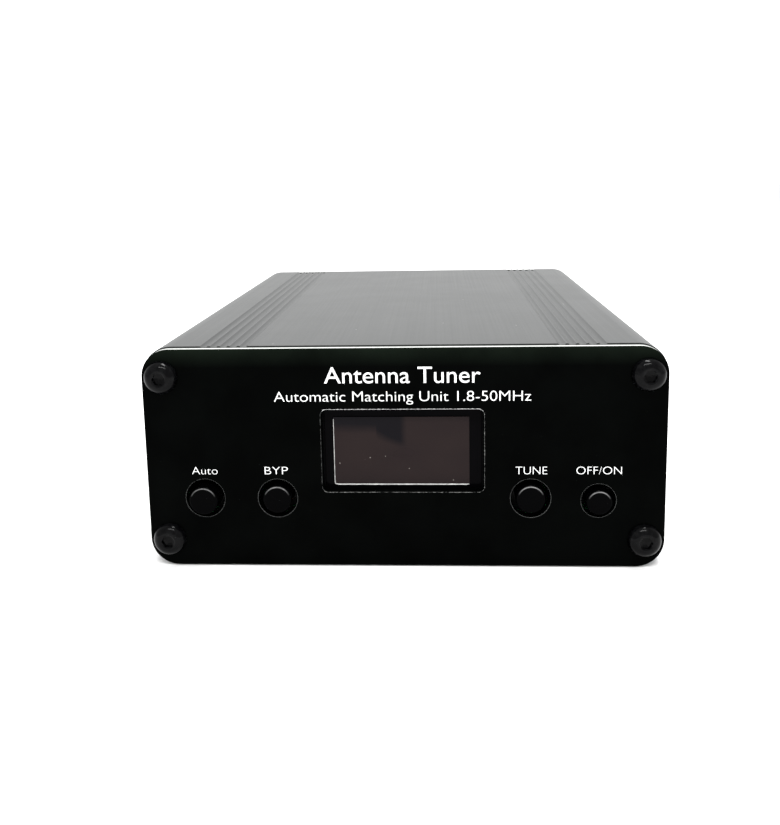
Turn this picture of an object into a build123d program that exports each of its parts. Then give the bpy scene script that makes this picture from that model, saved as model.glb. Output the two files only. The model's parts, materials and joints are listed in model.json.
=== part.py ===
from build123d import *
import os

# Automatic antenna tuner for short-wave radio, in a small split case of extruded aluminium.
#
# Frame: the origin is the centre of the case's underside. X runs to the right as seen from the
# front, Y runs from the front panel to the rear panel, and Z is up. All sizes are millimetres.
#
# Two identical extruded halves meet at mid-height in a tongue and groove, and a flat panel is
# screwed to each end. The main board slides in a slot of the lower half. It carries the front
# switches, the display, and the relays that switch the coils and capacitors. The rear panel
# carries two coaxial sockets, a power jack and a ground terminal.

os.makedirs("parts", exist_ok=True)

# ---------------------------------------------------------------- driving dimensions
# Case
CASE_WIDTH = 88.8
CASE_HEIGHT = 38.8
CASE_LENGTH = 110.0
CORNER_RADIUS = 5.0
WALL = 1.6
PANEL_THICKNESS = 1.6
PANEL_MARGIN = 0.2
EDGE_BREAK = 0.15

MID_Z = CASE_HEIGHT / 2
FRONT_END = -CASE_LENGTH / 2
REAR_END = CASE_LENGTH / 2
FRONT_FACE = FRONT_END - PANEL_THICKNESS
REAR_FACE = REAR_END + PANEL_THICKNESS
INNER_X = CASE_WIDTH / 2 - WALL
PANEL_WIDTH = CASE_WIDTH - 2 * PANEL_MARGIN
PANEL_HEIGHT = CASE_HEIGHT - 2 * PANEL_MARGIN
PANEL_RADIUS = CORNER_RADIUS - PANEL_MARGIN

# Shallow flutes along the top and bottom of the case
FLUTE_COUNT = 5
FLUTE_FIRST_X = 26.8
FLUTE_PITCH = 1.7
FLUTE_RADIUS = 0.8
FLUTE_DEPTH = 0.35

# Tongue and groove between the halves
TONGUE_THICKNESS = 0.75
TONGUE_HEIGHT = 1.4
TONGUE_CLEARANCE = 0.1
SEAM_CHAMFER = 0.35

# M3 button-head screws, and the channels of the case that four of them cut into at each end
SCREW_X = 40.8
SCREW_Z = 5.0
M3_RADIUS = 1.5
M3_CLEARANCE = 1.65
M3_LENGTH = 8.0
M3_HEAD_RADIUS = 2.85
M3_HEAD_HEIGHT = 1.65
M3_HEAD_EDGE = 0.2
M3_HEAD_BULGE = 0.33
M3_SOCKET_FLATS = 2.0
M3_SOCKET_DEPTH = 1.0
M3_NUT_FLATS = 5.5
M3_NUT_HEIGHT = 2.4
THREAD_CHAMFER = 0.3
CHANNEL_RADIUS = 3.0
CHANNEL_BORE = 1.55
CHANNEL_MOUTH = 1.2

# Main board and its slot
BOARD_TOP = 8.6
BOARD_THICKNESS = 1.6
BOARD_WIDTH = 84.0
BOARD_FRONT = -54.0
BOARD_BACK = 50.0
SLOT_CLEARANCE = 0.05
SLOT_INNER_X = 38.0
LIP_DEPTH = 1.5
LIP_HEIGHT = 1.2
LEAD_RADIUS = 0.35
LEAD_HOLE_RADIUS = 0.5
LEAD_REACH = 3.2

# Display behind its window
WINDOW_WIDTH = 27.4
WINDOW_HEIGHT = 14.3
WINDOW_Z = 20.75
WINDOW_RADIUS = 0.9
MODULE_SIZE = 27.3
MODULE_Z = 20.85
MODULE_THICKNESS = 1.2
MODULE_FRONT = -52.95
MODULE_HOLE_RADIUS = 1.0
MODULE_HOLE_PITCH = 23.3
GLASS_WIDTH = 26.7
GLASS_HEIGHT = 19.3
GLASS_Z = 21.9
GLASS_FRONT = -54.65
GLASS_THICKNESS = 1.45
FILM_WIDTH = 23.2
FILM_HEIGHT = 12.0
FILM_X = -0.25
FILM_Z = 20.25
FILM_THICKNESS = 0.25
PIN_PITCH = 2.54
PIN_COUNT = 4
PIN_WIDTH = 0.64
PIN_HOLE_RADIUS = 0.5
PIN_FRONT = -53.3
PIN_BACK = -45.0
PIN_Z = BOARD_TOP + PIN_WIDTH / 2
HEADER_DEPTH = 2.5
HEADER_HEIGHT = 2.4
NOTCH_WIDTH = 30.0
NOTCH_DEPTH = 4.8

# Front push buttons: name, distance from the middle, how far the cap stands out of the panel
TACT_KEYS = (("auto", -34.2, 1.7), ("bypass", -21.6, 0.9), ("tune", 21.6, 0.7))
TACT_Z = 12.4
TACT_CAP_RADIUS = 2.5
TACT_HOLE_RADIUS = 3.3
TACT_CAP_BACK = -51.2
TACT_STEM_RADIUS = 1.75
TACT_FLANGE_RADIUS = 2.2
TACT_WIDTH = 6.0
TACT_DEPTH = 3.6
TACT_HEIGHT = 7.0
TACT_FRONT = -50.0
TACT_FRONT_WALL = 0.4
TACT_CAVITY = 1.3
TACT_FLANGE = 0.4
TACT_LEAD_X = 2.25
CAP_SKIN = 1.5
CAP_EDGE = 0.35
FIT_GAP = 0.05
FREE_GAP = 0.3

# Latching power switch
POWER_X = 33.0
POWER_Z = 12.0
POWER_PROUD = 1.2
POWER_CAP_RADIUS = 2.2
POWER_HOLE_RADIUS = 2.85
POWER_CAP_BACK = -52.4
POWER_STEM = 2.2
POWER_FLANGE = 3.2
POWER_FLANGE_DEPTH = 1.0
POWER_WIDTH = 7.0
POWER_LENGTH = 10.0
POWER_FRONT = -48.5
POWER_FRONT_WALL = 0.8
POWER_CAVITY = 4.2
POWER_LEAD_X = 2.5
SPRING_RADIUS = 1.95
SPRING_WIRE = 0.17
SPRING_TURNS = 4

# Coaxial sockets: a 5/8 inch thread on a square flange
SOCKETS = (("antenna", -24.0), ("radio", 24.0))
FLANGE = 25.4
FLANGE_THICKNESS = 1.6
FLANGE_RADIUS = 1.2
FLANGE_PITCH = 18.2
THREAD_RADIUS = 7.94
BARREL_LENGTH = 10.8
BARREL_CHAMFER = 0.6
MOUTH_RADIUS = 6.35
MOUTH_DEPTH = 7.5
MOUTH_NOTCH_WIDTH = 1.6
MOUTH_NOTCH_DEPTH = 1.0
BOSS_RADIUS = 6.0
BOSS_LENGTH = 4.0
CORE_RADIUS = 5.0
INSULATOR_TAIL_RADIUS = 4.2
INSULATOR_TAIL = 2.0
CONTACT_RADIUS = 2.6
CONTACT_BORE = 2.0
CONTACT_DEPTH = 13.0
CONTACT_FLOOR = 0.8
CUP_RADIUS = 1.6
CUP_BORE = 1.15
CUP_DEPTH = 4.0
CUP_LENGTH = 5.0
SOCKET_FACE = REAR_FACE + FLANGE_THICKNESS
SOCKET_END = SOCKET_FACE + BARREL_LENGTH
INSULATOR_FRONT = SOCKET_END - MOUTH_DEPTH
CONTACT_BACK = INSULATOR_FRONT - CONTACT_DEPTH - CONTACT_FLOOR

# Power jack for a plug of 5.5 mm
JACK_Z = 26.9
JACK_FLANGE_RADIUS = 5.5
JACK_FLANGE = 1.8
JACK_BODY_RADIUS = 3.9
JACK_BACK = 44.0
JACK_BORE_RADIUS = 2.85
JACK_BORE_DEPTH = 10.0
JACK_PIN_RADIUS = 1.05
JACK_PIN_RECESS = 1.0
JACK_NUT_FLATS = 10.0
JACK_NUT_HEIGHT = 2.5
JACK_LUG_X = 2.0
JACK_LUG_LENGTH = 3.5
JACK_LUG_WIDTH = 1.8
JACK_LUG_THICKNESS = 0.5

# Ground terminal, M4
GROUND_Z = 11.9
M4_RADIUS = 2.0
M4_LENGTH = 14.0
M4_HEAD_RADIUS = 3.6
M4_HEAD_HEIGHT = 2.4
TAG_RADIUS = 3.5
TAG_THICKNESS = 0.6
TAG_WIDTH = 3.0
TAG_TIP_Z = 17.4
LOCK_WASHER_RADIUS = 3.5
LOCK_WASHER_THICKNESS = 0.7
LOCK_WASHER_SPLIT = 0.8
M4_NUT_FLATS = 7.0
M4_NUT_HEIGHT = 3.2
FLAT_WASHER_RADIUS = 4.6
FLAT_WASHER_THICKNESS = 0.8
FLAT_WASHER_BORE = 2.08
THUMB_RADIUS = 5.2
THUMB_HEIGHT = 3.6
THUMB_COLLAR_RADIUS = 3.6
THUMB_COLLAR_HEIGHT = 1.4
THUMB_CHAMFER = 0.4
KNURL_COUNT = 28
KNURL_RADIUS = 0.32

# Relays
RELAY_COUNT = 7
RELAY_PITCH = 11.2
RELAY_SIZE = (10.4, 15.4, 11.6)
RELAY_LEAD_PITCH = (7.0, 10.2)
INDUCTOR_RELAY_Y = 14.0
CAPACITOR_RELAY_Y = -8.0
NETWORK_RELAY = (33.2, -26.5)

# Coils: outer, inner and axial size of each core, its turns and the radius of its wire
TOROIDS = ((-29.4, 28.0), (-9.8, 28.0), (9.8, 28.0), (29.4, 28.0))
TOROID_CORE = (8.75, 4.7, 4.8)
TOROID_TURNS = 14
TOROID_WIRE = 0.4
COUPLERS = ((11.0, 38.5), (33.0, 38.5))
COUPLER_CORE = (6.35, 3.6, 4.8)
COUPLER_TURNS = 10
COUPLER_WIRE = 0.25
CORE_EDGE = 0.4
WINDING_GAP = 0.05
WINDING_SWEEP = 300.0
TURN_CORNER = 3.0
WIRE_SIDES = 8
WIRE_FLAT = 2 - 2**0.5
AIR_COILS = ((-36.0, 5), (-25.5, 6), (-15.0, 7))
AIR_COIL_Y = -27.0
AIR_COIL_RADIUS = 3.6
AIR_COIL_WIRE = 0.5
AIR_COIL_PITCH = 1.6
AIR_COIL_LIFT = 0.4

# Other parts on the main board
BANK_Y = 3.0
BANK_OFFSET = 2.6
BANK_SIZE = (3.2, 4.5, 1.8)
CONTROLLER = (0.0, -27.0)
CONTROLLER_SIZE = (7.5, 17.9, 2.3)
CONTROLLER_ROWS = 14
DRIVERS = ((12.5, -27.0), (21.5, -27.0))
DRIVER_SIZE = (3.9, 9.9, 1.5)
DRIVER_ROWS = 8
CHIP_STANDOFF = 0.1
CHIP_LEAD = (1.6, 0.4, 0.3)
CHIP_LEAD_PITCH = 1.27
CHIP_LEAD_OVERLAP = 0.2
REGULATOR = (-12.0, 45.2)
REGULATOR_SIZE = (6.5, 6.1, 2.3)
REGULATOR_TAB = (5.3, 1.2, 0.5)
REGULATOR_LEAD = (0.8, 1.4, 0.5)
REGULATOR_LEAD_PITCH = 4.6
SMOOTHERS = ((-18.0, 36.5), (-8.0, 36.5))
SMOOTHER_RADIUS = 4.0
SMOOTHER_HEIGHT = 12.0
SMOOTHER_NECK = (1.6, 0.5, 0.25)
SMOOTHER_LEAD_PITCH = 3.5

# Wires between the rear panel and the main board
SOCKET_WIRE = 0.8
DC_WIRE = 0.6
GROUND_WIRE = 0.6
WIRE_BEND = 3.2
WIRE_HOLE_GAP = 0.15
SOCKET_WIRE_Y = 37.5
DC_WIRE_Y = 36.5
GROUND_WIRE_Y = 47.0


# ---------------------------------------------------------------- helpers
def upright(y):
    """A sketch plane at depth y: X to the right, Z up, extruding towards the front."""
    return Plane.XZ.offset(-y)


def save(piece, label):
    """Names a finished piece and writes it to a STEP file of its own."""
    piece.part.label = label
    export_step(piece.part, f"parts/{label}.step")


def placed(piece, *places):
    """Copies of one piece, one at each place."""
    with BuildPart() as group:
        with Locations(*places):
            add(piece.part)
    return group


def turned(outline):
    """A solid turned about the Y axis, from its (radius, y) corners."""
    with BuildPart() as piece:
        with BuildSketch(Plane.XY):
            with BuildLine():
                Polyline(*outline, close=True)
            make_face()
        revolve(axis=Axis.Y)
    return piece


def ring(start, end, outer, inner):
    """A plain ring about the Y axis between two depths."""
    return turned(((inner, start), (outer, start), (outer, end), (inner, end)))


def hex_nut(start, end, flats, bore):
    """A hexagon nut about the Y axis between two depths."""
    with BuildPart() as piece:
        with BuildSketch(upright(start)):
            RegularPolygon(flats / 2, 6, major_radius=False, rotation=30)
            Circle(bore, mode=Mode.SUBTRACT)
        extrude(amount=start - end)
    return piece


def button_head_screw(length):
    """An M3 button-head screw that seats at y = 0 and points to +Y."""
    head_flat = M3_RADIUS
    with BuildPart() as screw:
        with BuildSketch(Plane.XY):
            with BuildLine():
                Polyline(
                    (head_flat, -M3_HEAD_HEIGHT),
                    (0, -M3_HEAD_HEIGHT),
                    (0, length),
                    (M3_RADIUS - THREAD_CHAMFER, length),
                    (M3_RADIUS, length - THREAD_CHAMFER),
                    (M3_RADIUS, 0),
                    (M3_HEAD_RADIUS, 0),
                    (M3_HEAD_RADIUS, -M3_HEAD_EDGE),
                )
                SagittaArc(
                    (M3_HEAD_RADIUS, -M3_HEAD_EDGE),
                    (head_flat, -M3_HEAD_HEIGHT),
                    M3_HEAD_BULGE,
                )
            make_face()
        revolve(axis=Axis.Y)
        with BuildSketch(upright(-M3_HEAD_HEIGHT)):
            RegularPolygon(M3_SOCKET_FLATS / 2, 6, major_radius=False)
        extrude(amount=-M3_SOCKET_DEPTH, mode=Mode.SUBTRACT)
    return screw


def corners(half_x, half_z, centre_x=0.0, centre_z=0.0):
    """The four (x, z) corners of a rectangle about a centre."""
    return [
        (centre_x + side * half_x, centre_z + level * half_z)
        for side in (-1, 1)
        for level in (-1, 1)
    ]


def leads(places):
    """Round leads from the board's top down through it, at (x, y) places."""
    with BuildPart() as group:
        with BuildSketch(Plane.XY.offset(BOARD_TOP)):
            with Locations(*places):
                Circle(LEAD_RADIUS)
        extrude(amount=-LEAD_REACH)
    return group


case_screws = corners(SCREW_X, MID_Z - SCREW_Z, centre_z=MID_Z)
flange_holes = corners(FLANGE_PITCH / 2, FLANGE_PITCH / 2)
socket_screws = [(x + hole_x, MID_Z + hole_z) for _, x in SOCKETS for hole_x, hole_z in flange_holes]
board_holes = []


# ---------------------------------------------------------------- case
with BuildPart() as lower_shell:
    with BuildSketch(upright(FRONT_END)):
        with Locations((0, MID_Z)):
            RectangleRounded(CASE_WIDTH, CASE_HEIGHT, CORNER_RADIUS)
            RectangleRounded(
                CASE_WIDTH - 2 * WALL,
                CASE_HEIGHT - 2 * WALL,
                CORNER_RADIUS - WALL,
                mode=Mode.SUBTRACT,
            )
            Rectangle(CASE_WIDTH, MID_Z, align=(Align.CENTER, Align.MIN), mode=Mode.SUBTRACT)
        for side in (-1, 1):
            # Screw channel in the corner, open to the inside along a narrow mouth
            with Locations((side * SCREW_X, SCREW_Z)):
                Circle(CHANNEL_RADIUS)
            # Lip above the board's edge
            with Locations((side * (INNER_X - LIP_DEPTH / 2), BOARD_TOP + SLOT_CLEARANCE)):
                Rectangle(LIP_DEPTH + 2 * EDGE_BREAK, LIP_HEIGHT, align=(Align.CENTER, Align.MIN))
            # Slot for the board's edge
            with Locations(((side * (SLOT_INNER_X + INNER_X) / 2), BOARD_TOP + SLOT_CLEARANCE)):
                Rectangle(
                    INNER_X - SLOT_INNER_X,
                    BOARD_THICKNESS + 2 * SLOT_CLEARANCE,
                    align=(Align.CENTER, Align.MAX),
                    mode=Mode.SUBTRACT,
                )
            with Locations((side * SCREW_X, SCREW_Z)):
                Circle(CHANNEL_BORE, mode=Mode.SUBTRACT)
            with Locations((side * (SCREW_X - CHANNEL_RADIUS / 2), SCREW_Z)):
                Rectangle(CHANNEL_RADIUS + 1, CHANNEL_MOUTH, mode=Mode.SUBTRACT)
            # Flutes along the underside
            for index in range(FLUTE_COUNT):
                flute_x = side * (FLUTE_FIRST_X + index * FLUTE_PITCH)
                with Locations((flute_x, FLUTE_DEPTH - FLUTE_RADIUS)):
                    Circle(FLUTE_RADIUS, mode=Mode.SUBTRACT)
        # Tongue on the right, groove on the left, and a shallow vee along the outside of the seam
        with Locations((INNER_X, MID_Z - TONGUE_HEIGHT)):
            Rectangle(TONGUE_THICKNESS, 2 * TONGUE_HEIGHT, align=(Align.MIN, Align.MIN))
        with Locations((-INNER_X, MID_Z)):
            Rectangle(
                TONGUE_THICKNESS + TONGUE_CLEARANCE,
                TONGUE_HEIGHT + TONGUE_CLEARANCE,
                align=(Align.MAX, Align.MAX),
                mode=Mode.SUBTRACT,
            )
        with Locations((-CASE_WIDTH / 2, MID_Z), (CASE_WIDTH / 2, MID_Z)):
            Rectangle(
                SEAM_CHAMFER * 2**0.5,
                SEAM_CHAMFER * 2**0.5,
                rotation=45,
                mode=Mode.SUBTRACT,
            )
    extrude(amount=-CASE_LENGTH)
save(lower_shell, "lower_shell")

# The upper half is the same extrusion, turned over about the middle of the case
with BuildPart() as upper_shell:
    add(lower_shell.part.rotate(Axis((0, 0, MID_Z), (0, 1, 0)), 180))
save(upper_shell, "upper_shell")

with BuildPart() as front_panel:
    with BuildSketch(upright(FRONT_END)):
        with Locations((0, MID_Z)):
            RectangleRounded(PANEL_WIDTH, PANEL_HEIGHT, PANEL_RADIUS)
        with Locations((0, WINDOW_Z)):
            RectangleRounded(WINDOW_WIDTH, WINDOW_HEIGHT, WINDOW_RADIUS, mode=Mode.SUBTRACT)
        with Locations(*case_screws):
            Circle(M3_CLEARANCE, mode=Mode.SUBTRACT)
        with Locations(*((x, TACT_Z) for _, x, _ in TACT_KEYS)):
            Circle(TACT_HOLE_RADIUS, mode=Mode.SUBTRACT)
        with Locations((POWER_X, POWER_Z)):
            Circle(POWER_HOLE_RADIUS, mode=Mode.SUBTRACT)
    extrude(amount=PANEL_THICKNESS)
    chamfer(front_panel.faces().sort_by(Axis.Y)[0].edges(), EDGE_BREAK)
save(front_panel, "front_panel")

with BuildPart() as rear_panel:
    with BuildSketch(upright(REAR_END)):
        with Locations((0, MID_Z)):
            RectangleRounded(PANEL_WIDTH, PANEL_HEIGHT, PANEL_RADIUS)
        with Locations(*case_screws, *socket_screws):
            Circle(M3_CLEARANCE, mode=Mode.SUBTRACT)
        with Locations(*((x, MID_Z) for _, x in SOCKETS)):
            Circle(BOSS_RADIUS + FIT_GAP, mode=Mode.SUBTRACT)
        with Locations((0, JACK_Z)):
            Circle(JACK_BODY_RADIUS + FIT_GAP, mode=Mode.SUBTRACT)
        with Locations((0, GROUND_Z)):
            Circle(M4_RADIUS + FIT_GAP, mode=Mode.SUBTRACT)
    extrude(amount=-PANEL_THICKNESS)
    chamfer(rear_panel.faces().sort_by(Axis.Y)[-1].edges(), EDGE_BREAK)
save(rear_panel, "rear_panel")

screw = button_head_screw(M3_LENGTH)
front_places = [Location((x, FRONT_FACE, z)) for x, z in case_screws]
rear_places = [Location((x, REAR_FACE, z), (0, 0, 180)) for x, z in case_screws]
save(placed(screw, *front_places), "front_panel_screws")
save(placed(screw, *rear_places), "rear_panel_screws")


# ---------------------------------------------------------------- display
with BuildPart() as display_glass:
    with BuildSketch(upright(GLASS_FRONT)):
        with Locations((0, GLASS_Z)):
            Rectangle(GLASS_WIDTH, GLASS_HEIGHT)
    extrude(amount=-GLASS_THICKNESS)
save(display_glass, "display_glass")

with BuildPart() as display_polariser:
    with BuildSketch(upright(GLASS_FRONT)):
        with Locations((FILM_X, FILM_Z)):
            Rectangle(FILM_WIDTH, FILM_HEIGHT)
    extrude(amount=FILM_THICKNESS)
save(display_polariser, "display_polariser")

pin_places = [((index - (PIN_COUNT - 1) / 2) * PIN_PITCH, PIN_Z) for index in range(PIN_COUNT)]

with BuildPart() as display_board:
    with BuildSketch(upright(MODULE_FRONT)):
        with Locations((0, MODULE_Z)):
            Rectangle(MODULE_SIZE, MODULE_SIZE)
            with GridLocations(MODULE_HOLE_PITCH, MODULE_HOLE_PITCH, 2, 2):
                Circle(MODULE_HOLE_RADIUS, mode=Mode.SUBTRACT)
        with Locations(*pin_places):
            Circle(PIN_HOLE_RADIUS, mode=Mode.SUBTRACT)
    extrude(amount=-MODULE_THICKNESS)
save(display_board, "display_board")

with BuildPart() as display_header:
    with BuildSketch(upright(MODULE_FRONT + MODULE_THICKNESS)):
        with Locations((0, PIN_Z)):
            Rectangle(PIN_COUNT * PIN_PITCH, HEADER_HEIGHT)
        with Locations(*pin_places):
            Rectangle(PIN_WIDTH, PIN_WIDTH, mode=Mode.SUBTRACT)
    extrude(amount=-HEADER_DEPTH)
save(display_header, "display_header")

with BuildPart() as display_pins:
    with BuildSketch(upright(PIN_FRONT)):
        with Locations(*pin_places):
            Rectangle(PIN_WIDTH, PIN_WIDTH)
    extrude(amount=PIN_FRONT - PIN_BACK)
save(display_pins, "display_pins")


# ---------------------------------------------------------------- front switches
def tact_button(name, x, proud):
    """A cap pressed on the plunger of a right-angle push switch that stands on the board."""
    cap_front = FRONT_FACE - proud
    stem_front = cap_front + CAP_SKIN
    cap = ring(cap_front, TACT_CAP_BACK, TACT_CAP_RADIUS, TACT_STEM_RADIUS + FIT_GAP)
    with BuildPart() as closed_cap:
        add(cap.part)
        with BuildSketch(upright(cap_front)):
            Circle(TACT_CAP_RADIUS)
        extrude(amount=-CAP_SKIN)
        fillet(closed_cap.faces().sort_by(Axis.Y)[0].edges(), CAP_EDGE)
    save(placed(closed_cap, (x, 0, TACT_Z)), f"{name}_button_cap")

    flange_front = TACT_FRONT + TACT_FRONT_WALL + FIT_GAP
    flange_back = flange_front + TACT_FLANGE
    plunger = turned(
        (
            (0, stem_front + FIT_GAP),
            (TACT_STEM_RADIUS, stem_front + FIT_GAP),
            (TACT_STEM_RADIUS, flange_front),
            (TACT_FLANGE_RADIUS, flange_front),
            (TACT_FLANGE_RADIUS, flange_back),
            (0, flange_back),
        )
    )
    save(placed(plunger, (x, 0, TACT_Z)), f"{name}_switch_plunger")

    lead_places = [(x + side * TACT_LEAD_X, TACT_FRONT + TACT_DEPTH / 2) for side in (-1, 1)]
    switch_leads = leads(lead_places)
    with BuildPart() as body:
        with BuildSketch(Plane.XY.offset(BOARD_TOP)):
            with Locations((x, TACT_FRONT + TACT_DEPTH / 2)):
                RectangleRounded(TACT_WIDTH, TACT_DEPTH, CAP_EDGE)
        extrude(amount=TACT_HEIGHT)
        with BuildSketch(upright(TACT_FRONT)):
            with Locations((x, TACT_Z)):
                Circle(TACT_STEM_RADIUS + FIT_GAP)
        extrude(amount=-TACT_FRONT_WALL, mode=Mode.SUBTRACT)
        with BuildSketch(upright(TACT_FRONT + TACT_FRONT_WALL)):
            with Locations((x, TACT_Z)):
                Circle(TACT_FLANGE_RADIUS + FREE_GAP)
        extrude(amount=-TACT_CAVITY, mode=Mode.SUBTRACT)
        add(switch_leads.part)
    save(body, f"{name}_switch_body")
    board_holes.extend(lead_places)


for key_name, key_x, key_proud in TACT_KEYS:
    tact_button(key_name, key_x, key_proud)

power_cap_front = FRONT_FACE - POWER_PROUD
power_flange_front = POWER_FRONT + POWER_FRONT_WALL + FIT_GAP

with BuildPart() as power_button_cap:
    with BuildSketch(upright(power_cap_front)):
        with Locations((POWER_X, POWER_Z)):
            Circle(POWER_CAP_RADIUS)
    extrude(amount=power_cap_front - POWER_CAP_BACK)
    fillet(power_button_cap.faces().sort_by(Axis.Y)[0].edges(), CAP_EDGE)
    with BuildSketch(upright(POWER_CAP_BACK)):
        with Locations((POWER_X, POWER_Z)):
            Rectangle(POWER_STEM + 2 * FIT_GAP, POWER_STEM + 2 * FIT_GAP)
    extrude(amount=POWER_CAP_BACK - power_cap_front - CAP_SKIN, mode=Mode.SUBTRACT)
save(power_button_cap, "power_button_cap")

with BuildPart() as power_switch_plunger:
    with BuildSketch(upright(power_cap_front + CAP_SKIN + FIT_GAP)):
        with Locations((POWER_X, POWER_Z)):
            Rectangle(POWER_STEM, POWER_STEM)
    extrude(amount=power_cap_front + CAP_SKIN + FIT_GAP - power_flange_front)
    with BuildSketch(upright(power_flange_front)):
        with Locations((POWER_X, POWER_Z)):
            Rectangle(POWER_FLANGE, POWER_FLANGE)
    extrude(amount=-POWER_FLANGE_DEPTH)
save(power_switch_plunger, "power_switch_plunger")

power_leads = [
    (POWER_X + side * POWER_LEAD_X, POWER_FRONT + POWER_LENGTH * share)
    for side in (-1, 1)
    for share in (0.3, 0.55, 0.8)
]
power_lead_group = leads(power_leads)
with BuildPart() as power_switch_body:
    with BuildSketch(Plane.XY.offset(BOARD_TOP)):
        with Locations((POWER_X, POWER_FRONT + POWER_LENGTH / 2)):
            RectangleRounded(POWER_WIDTH, POWER_LENGTH, CAP_EDGE)
    extrude(amount=POWER_WIDTH)
    with BuildSketch(upright(POWER_FRONT)):
        with Locations((POWER_X, POWER_Z)):
            Rectangle(POWER_STEM + 2 * FIT_GAP, POWER_STEM + 2 * FIT_GAP)
    extrude(amount=-POWER_FRONT_WALL, mode=Mode.SUBTRACT)
    with BuildSketch(upright(POWER_FRONT + POWER_FRONT_WALL)):
        with Locations((POWER_X, POWER_Z)):
            Rectangle(POWER_FLANGE + 2 * FREE_GAP, POWER_FLANGE + 2 * FREE_GAP)
    extrude(amount=-POWER_CAVITY, mode=Mode.SUBTRACT)
    add(power_lead_group.part)
save(power_switch_body, "power_switch_body")
board_holes.extend(power_leads)

# Return spring round the plunger, between the switch and the cap
spring_start = POWER_CAP_BACK + SPRING_WIRE + FIT_GAP
spring_length = POWER_FRONT - SPRING_WIRE - FIT_GAP - spring_start
with BuildPart() as power_switch_spring:
    with BuildLine() as coil:
        Helix(spring_length / SPRING_TURNS, spring_length, SPRING_RADIUS)
    with BuildSketch(Plane(origin=coil.line @ 0, z_dir=coil.line % 0)):
        Circle(SPRING_WIRE)
    sweep(is_frenet=True)
save(
    placed(power_switch_spring, Location((POWER_X, spring_start, POWER_Z), (-90, 0, 0))),
    "power_switch_spring",
)


# ---------------------------------------------------------------- coaxial sockets
with BuildPart() as socket_body:
    with BuildSketch(upright(REAR_FACE)):
        RectangleRounded(FLANGE, FLANGE, FLANGE_RADIUS)
        with Locations(*flange_holes):
            Circle(M3_CLEARANCE, mode=Mode.SUBTRACT)
    extrude(amount=-FLANGE_THICKNESS)
    with BuildSketch(upright(SOCKET_FACE)):
        Circle(THREAD_RADIUS)
    extrude(amount=-BARREL_LENGTH)
    chamfer(socket_body.faces().sort_by(Axis.Y)[-1].edges(), BARREL_CHAMFER)
    with BuildSketch(upright(REAR_FACE)):
        Circle(BOSS_RADIUS)
    extrude(amount=BOSS_LENGTH)
    with BuildSketch(upright(SOCKET_END)):
        Circle(MOUTH_RADIUS)
    extrude(amount=MOUTH_DEPTH, mode=Mode.SUBTRACT)
    with BuildSketch(upright(SOCKET_END)):
        Circle(CORE_RADIUS)
    extrude(amount=SOCKET_END - REAR_FACE + BOSS_LENGTH, mode=Mode.SUBTRACT)
    with BuildSketch(upright(SOCKET_END)):
        with PolarLocations(THREAD_RADIUS, 4, start_angle=45):
            Rectangle(2 * (THREAD_RADIUS - CORE_RADIUS), MOUTH_NOTCH_WIDTH)
    extrude(amount=MOUTH_NOTCH_DEPTH, mode=Mode.SUBTRACT)

socket_insulator = turned(
    (
        (CONTACT_RADIUS + FIT_GAP, INSULATOR_FRONT),
        (CORE_RADIUS - FIT_GAP, INSULATOR_FRONT),
        (CORE_RADIUS - FIT_GAP, REAR_FACE - BOSS_LENGTH),
        (INSULATOR_TAIL_RADIUS, REAR_FACE - BOSS_LENGTH),
        (INSULATOR_TAIL_RADIUS, REAR_FACE - BOSS_LENGTH - INSULATOR_TAIL),
        (CONTACT_RADIUS + FIT_GAP, REAR_FACE - BOSS_LENGTH - INSULATOR_TAIL),
    )
)

# A tube for the plug's pin at one end and a solder cup at the other
socket_contact = turned(
    (
        (CONTACT_BORE, INSULATOR_FRONT),
        (CONTACT_RADIUS, INSULATOR_FRONT),
        (CONTACT_RADIUS, CONTACT_BACK),
        (CUP_RADIUS, CONTACT_BACK),
        (CUP_RADIUS, CONTACT_BACK - CUP_LENGTH),
        (CUP_BORE, CONTACT_BACK - CUP_LENGTH),
        (CUP_BORE, CONTACT_BACK - CUP_LENGTH + CUP_DEPTH),
        (0, CONTACT_BACK - CUP_LENGTH + CUP_DEPTH),
        (0, CONTACT_BACK + CONTACT_FLOOR),
        (CONTACT_BORE, CONTACT_BACK + CONTACT_FLOOR),
    )
)

for socket_name, socket_x in SOCKETS:
    save(placed(socket_body, (socket_x, 0, MID_Z)), f"{socket_name}_socket_body")
    save(placed(socket_insulator, (socket_x, 0, MID_Z)), f"{socket_name}_socket_insulator")
    save(placed(socket_contact, (socket_x, 0, MID_Z)), f"{socket_name}_socket_contact")

flange_places = [Location((x, SOCKET_FACE, z), (0, 0, 180)) for x, z in socket_screws]
save(placed(screw, *flange_places), "socket_screws")
flange_nut = hex_nut(REAR_END - M3_NUT_HEIGHT, REAR_END, M3_NUT_FLATS, M3_RADIUS + FIT_GAP)
save(placed(flange_nut, *((x, 0, z) for x, z in socket_screws)), "socket_nuts")


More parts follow.
